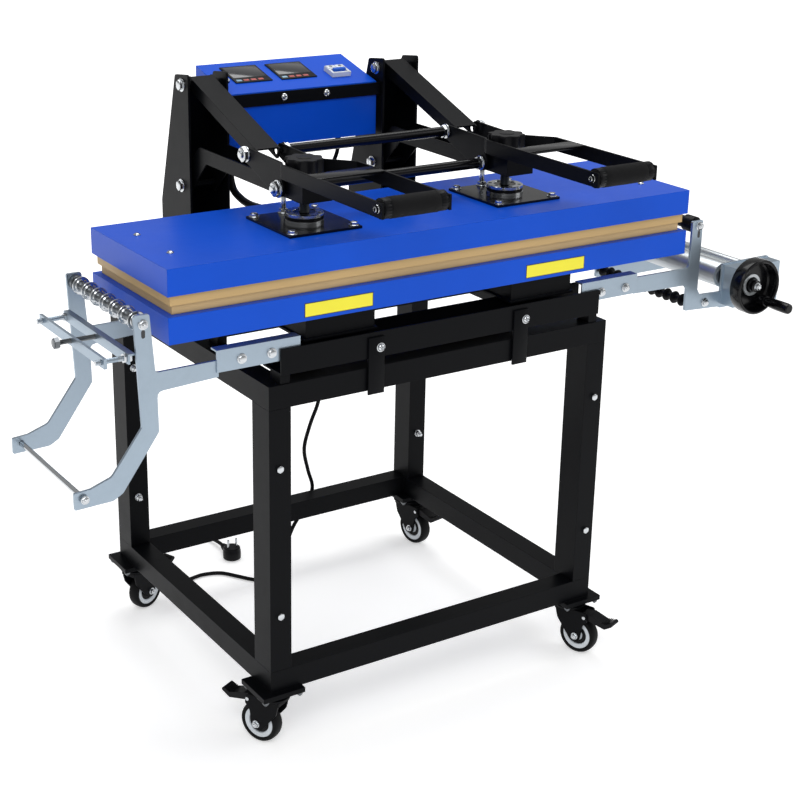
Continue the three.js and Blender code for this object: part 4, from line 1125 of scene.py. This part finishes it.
# ---------- operators ----------
class PressOperator:
    """Shared by every operator here."""

    bl_options = {"REGISTER"}

    def execute(self, context):
        """Makes the operator's data, and fails when it adds neither a piece nor a finish."""
        before = len(bpy.data.objects) + len(bpy.data.materials)
        self.make(context.scene.press_sizes, context.scene.press_colours)
        if len(bpy.data.objects) + len(bpy.data.materials) == before:
            raise RuntimeError(f"{self.bl_label} made nothing")
        return {"FINISHED"}


class PRESS_OT_finishes(PressOperator, bpy.types.Operator):
    """Make the finishes and give each CAD node its own"""

    bl_idname = "press.finishes"
    bl_label = "Finishes"

    def make(self, sizes, colours):
        make_finishes(colours)
        dress_frame()


class PRESS_OT_stand(PressOperator, bpy.types.Operator):
    """Bolt the stand and dress its casters"""

    bl_idname = "press.stand"
    bl_label = "Stand and casters"

    def make(self, sizes, colours):
        stand_bolts(sizes)
        foot_bolts()
        caster_wheels()


class PRESS_OT_base(PressOperator, bpy.types.Operator):
    """Straps, pivot bolts, marker plates and screws of the press base"""

    bl_idname = "press.base"
    bl_label = "Press base"

    def make(self, sizes, colours):
        strap_tabs()
        tie_bar_bolts()
        pivot_bolts()
        marker_plates(sizes)
        housing_screws()


class PRESS_OT_controls(PressOperator, bpy.types.Operator):
    """Controllers, keys and breaker of the control box"""

    bl_idname = "press.controls"
    bl_label = "Control box"

    def make(self, sizes, colours):
        controllers()
        breaker_trim()


class PRESS_OT_mechanism(PressOperator, bpy.types.Operator):
    """Pressure screws, lock rings, tie rods, pivots and grips"""

    bl_idname = "press.mechanism"
    bl_label = "Mechanism"

    def make(self, sizes, colours):
        lock_rings()
        pressure_knobs(sizes)
        cross_rods()
        linkage_bolts()
        handle_grips(sizes)


class PRESS_OT_cables(PressOperator, bpy.types.Operator):
    """Mains lead, plug, strain relief and the heater's conduit"""

    bl_idname = "press.cables"
    bl_label = "Cables"

    def make(self, sizes, colours):
        strain_relief()
        mains_lead()
        heater_conduit()


class PRESS_OT_feeder(PressOperator, bpy.types.Operator):
    """Rollers, bolts and clamp of the strap feeder"""

    bl_idname = "press.feeder"
    bl_label = "Strap feeder"

    def make(self, sizes, colours):
        feeder_rollers()
        clamp_details()


class PRESS_OT_winder(PressOperator, bpy.types.Operator):
    """Tubes, handwheel and bolts of the take-up winder"""

    bl_idname = "press.winder"
    bl_label = "Take-up winder"

    def make(self, sizes, colours):
        winder_tubes()
        lower_roller()
        winder_bolts()
        handwheel()


class PRESS_OT_stage(PressOperator, bpy.types.Operator):
    """Floor, lamps and camera"""

    bl_idname = "press.stage"
    bl_label = "Stage"

    def make(self, sizes, colours):
        floor_and_lights()
        camera()


OPERATORS = (
    PRESS_OT_finishes,
    PRESS_OT_stand,
    PRESS_OT_base,
    PRESS_OT_controls,
    PRESS_OT_mechanism,
    PRESS_OT_cables,
    PRESS_OT_feeder,
    PRESS_OT_winder,
    PRESS_OT_stage,
)


class PRESS_PT_panel(bpy.types.Panel):
    """Lists the press's operators"""

    bl_label = "Heat press"
    bl_idname = "PRESS_PT_panel"
    bl_space_type = "VIEW_3D"
    bl_region_type = "UI"
    bl_category = "Heat press"

    def draw(self, context):
        for operator in OPERATORS:
            self.layout.operator(operator.bl_idname)


CLASSES = (PressColours, PressSizes, *OPERATORS, PRESS_PT_panel)


def register():
    """Adds the classes and the scene's settings."""
    for cls in CLASSES:
        bpy.utils.register_class(cls)
    bpy.types.Scene.press_colours = PointerProperty(type=PressColours)
    bpy.types.Scene.press_sizes = PointerProperty(type=PressSizes)


def unregister():
    """Takes the classes and settings away again."""
    del bpy.types.Scene.press_sizes
    del bpy.types.Scene.press_colours
    for cls in reversed(CLASSES):
        bpy.utils.unregister_class(cls)


def main():
    """Makes everything in order."""
    register()
    for operator in OPERATORS:
        group, name = operator.bl_idname.split(".")
        getattr(getattr(bpy.ops, group), name)()
    bpy.context.scene.view_settings.view_transform = "Standard"


if __name__ == "__main__":
    main()
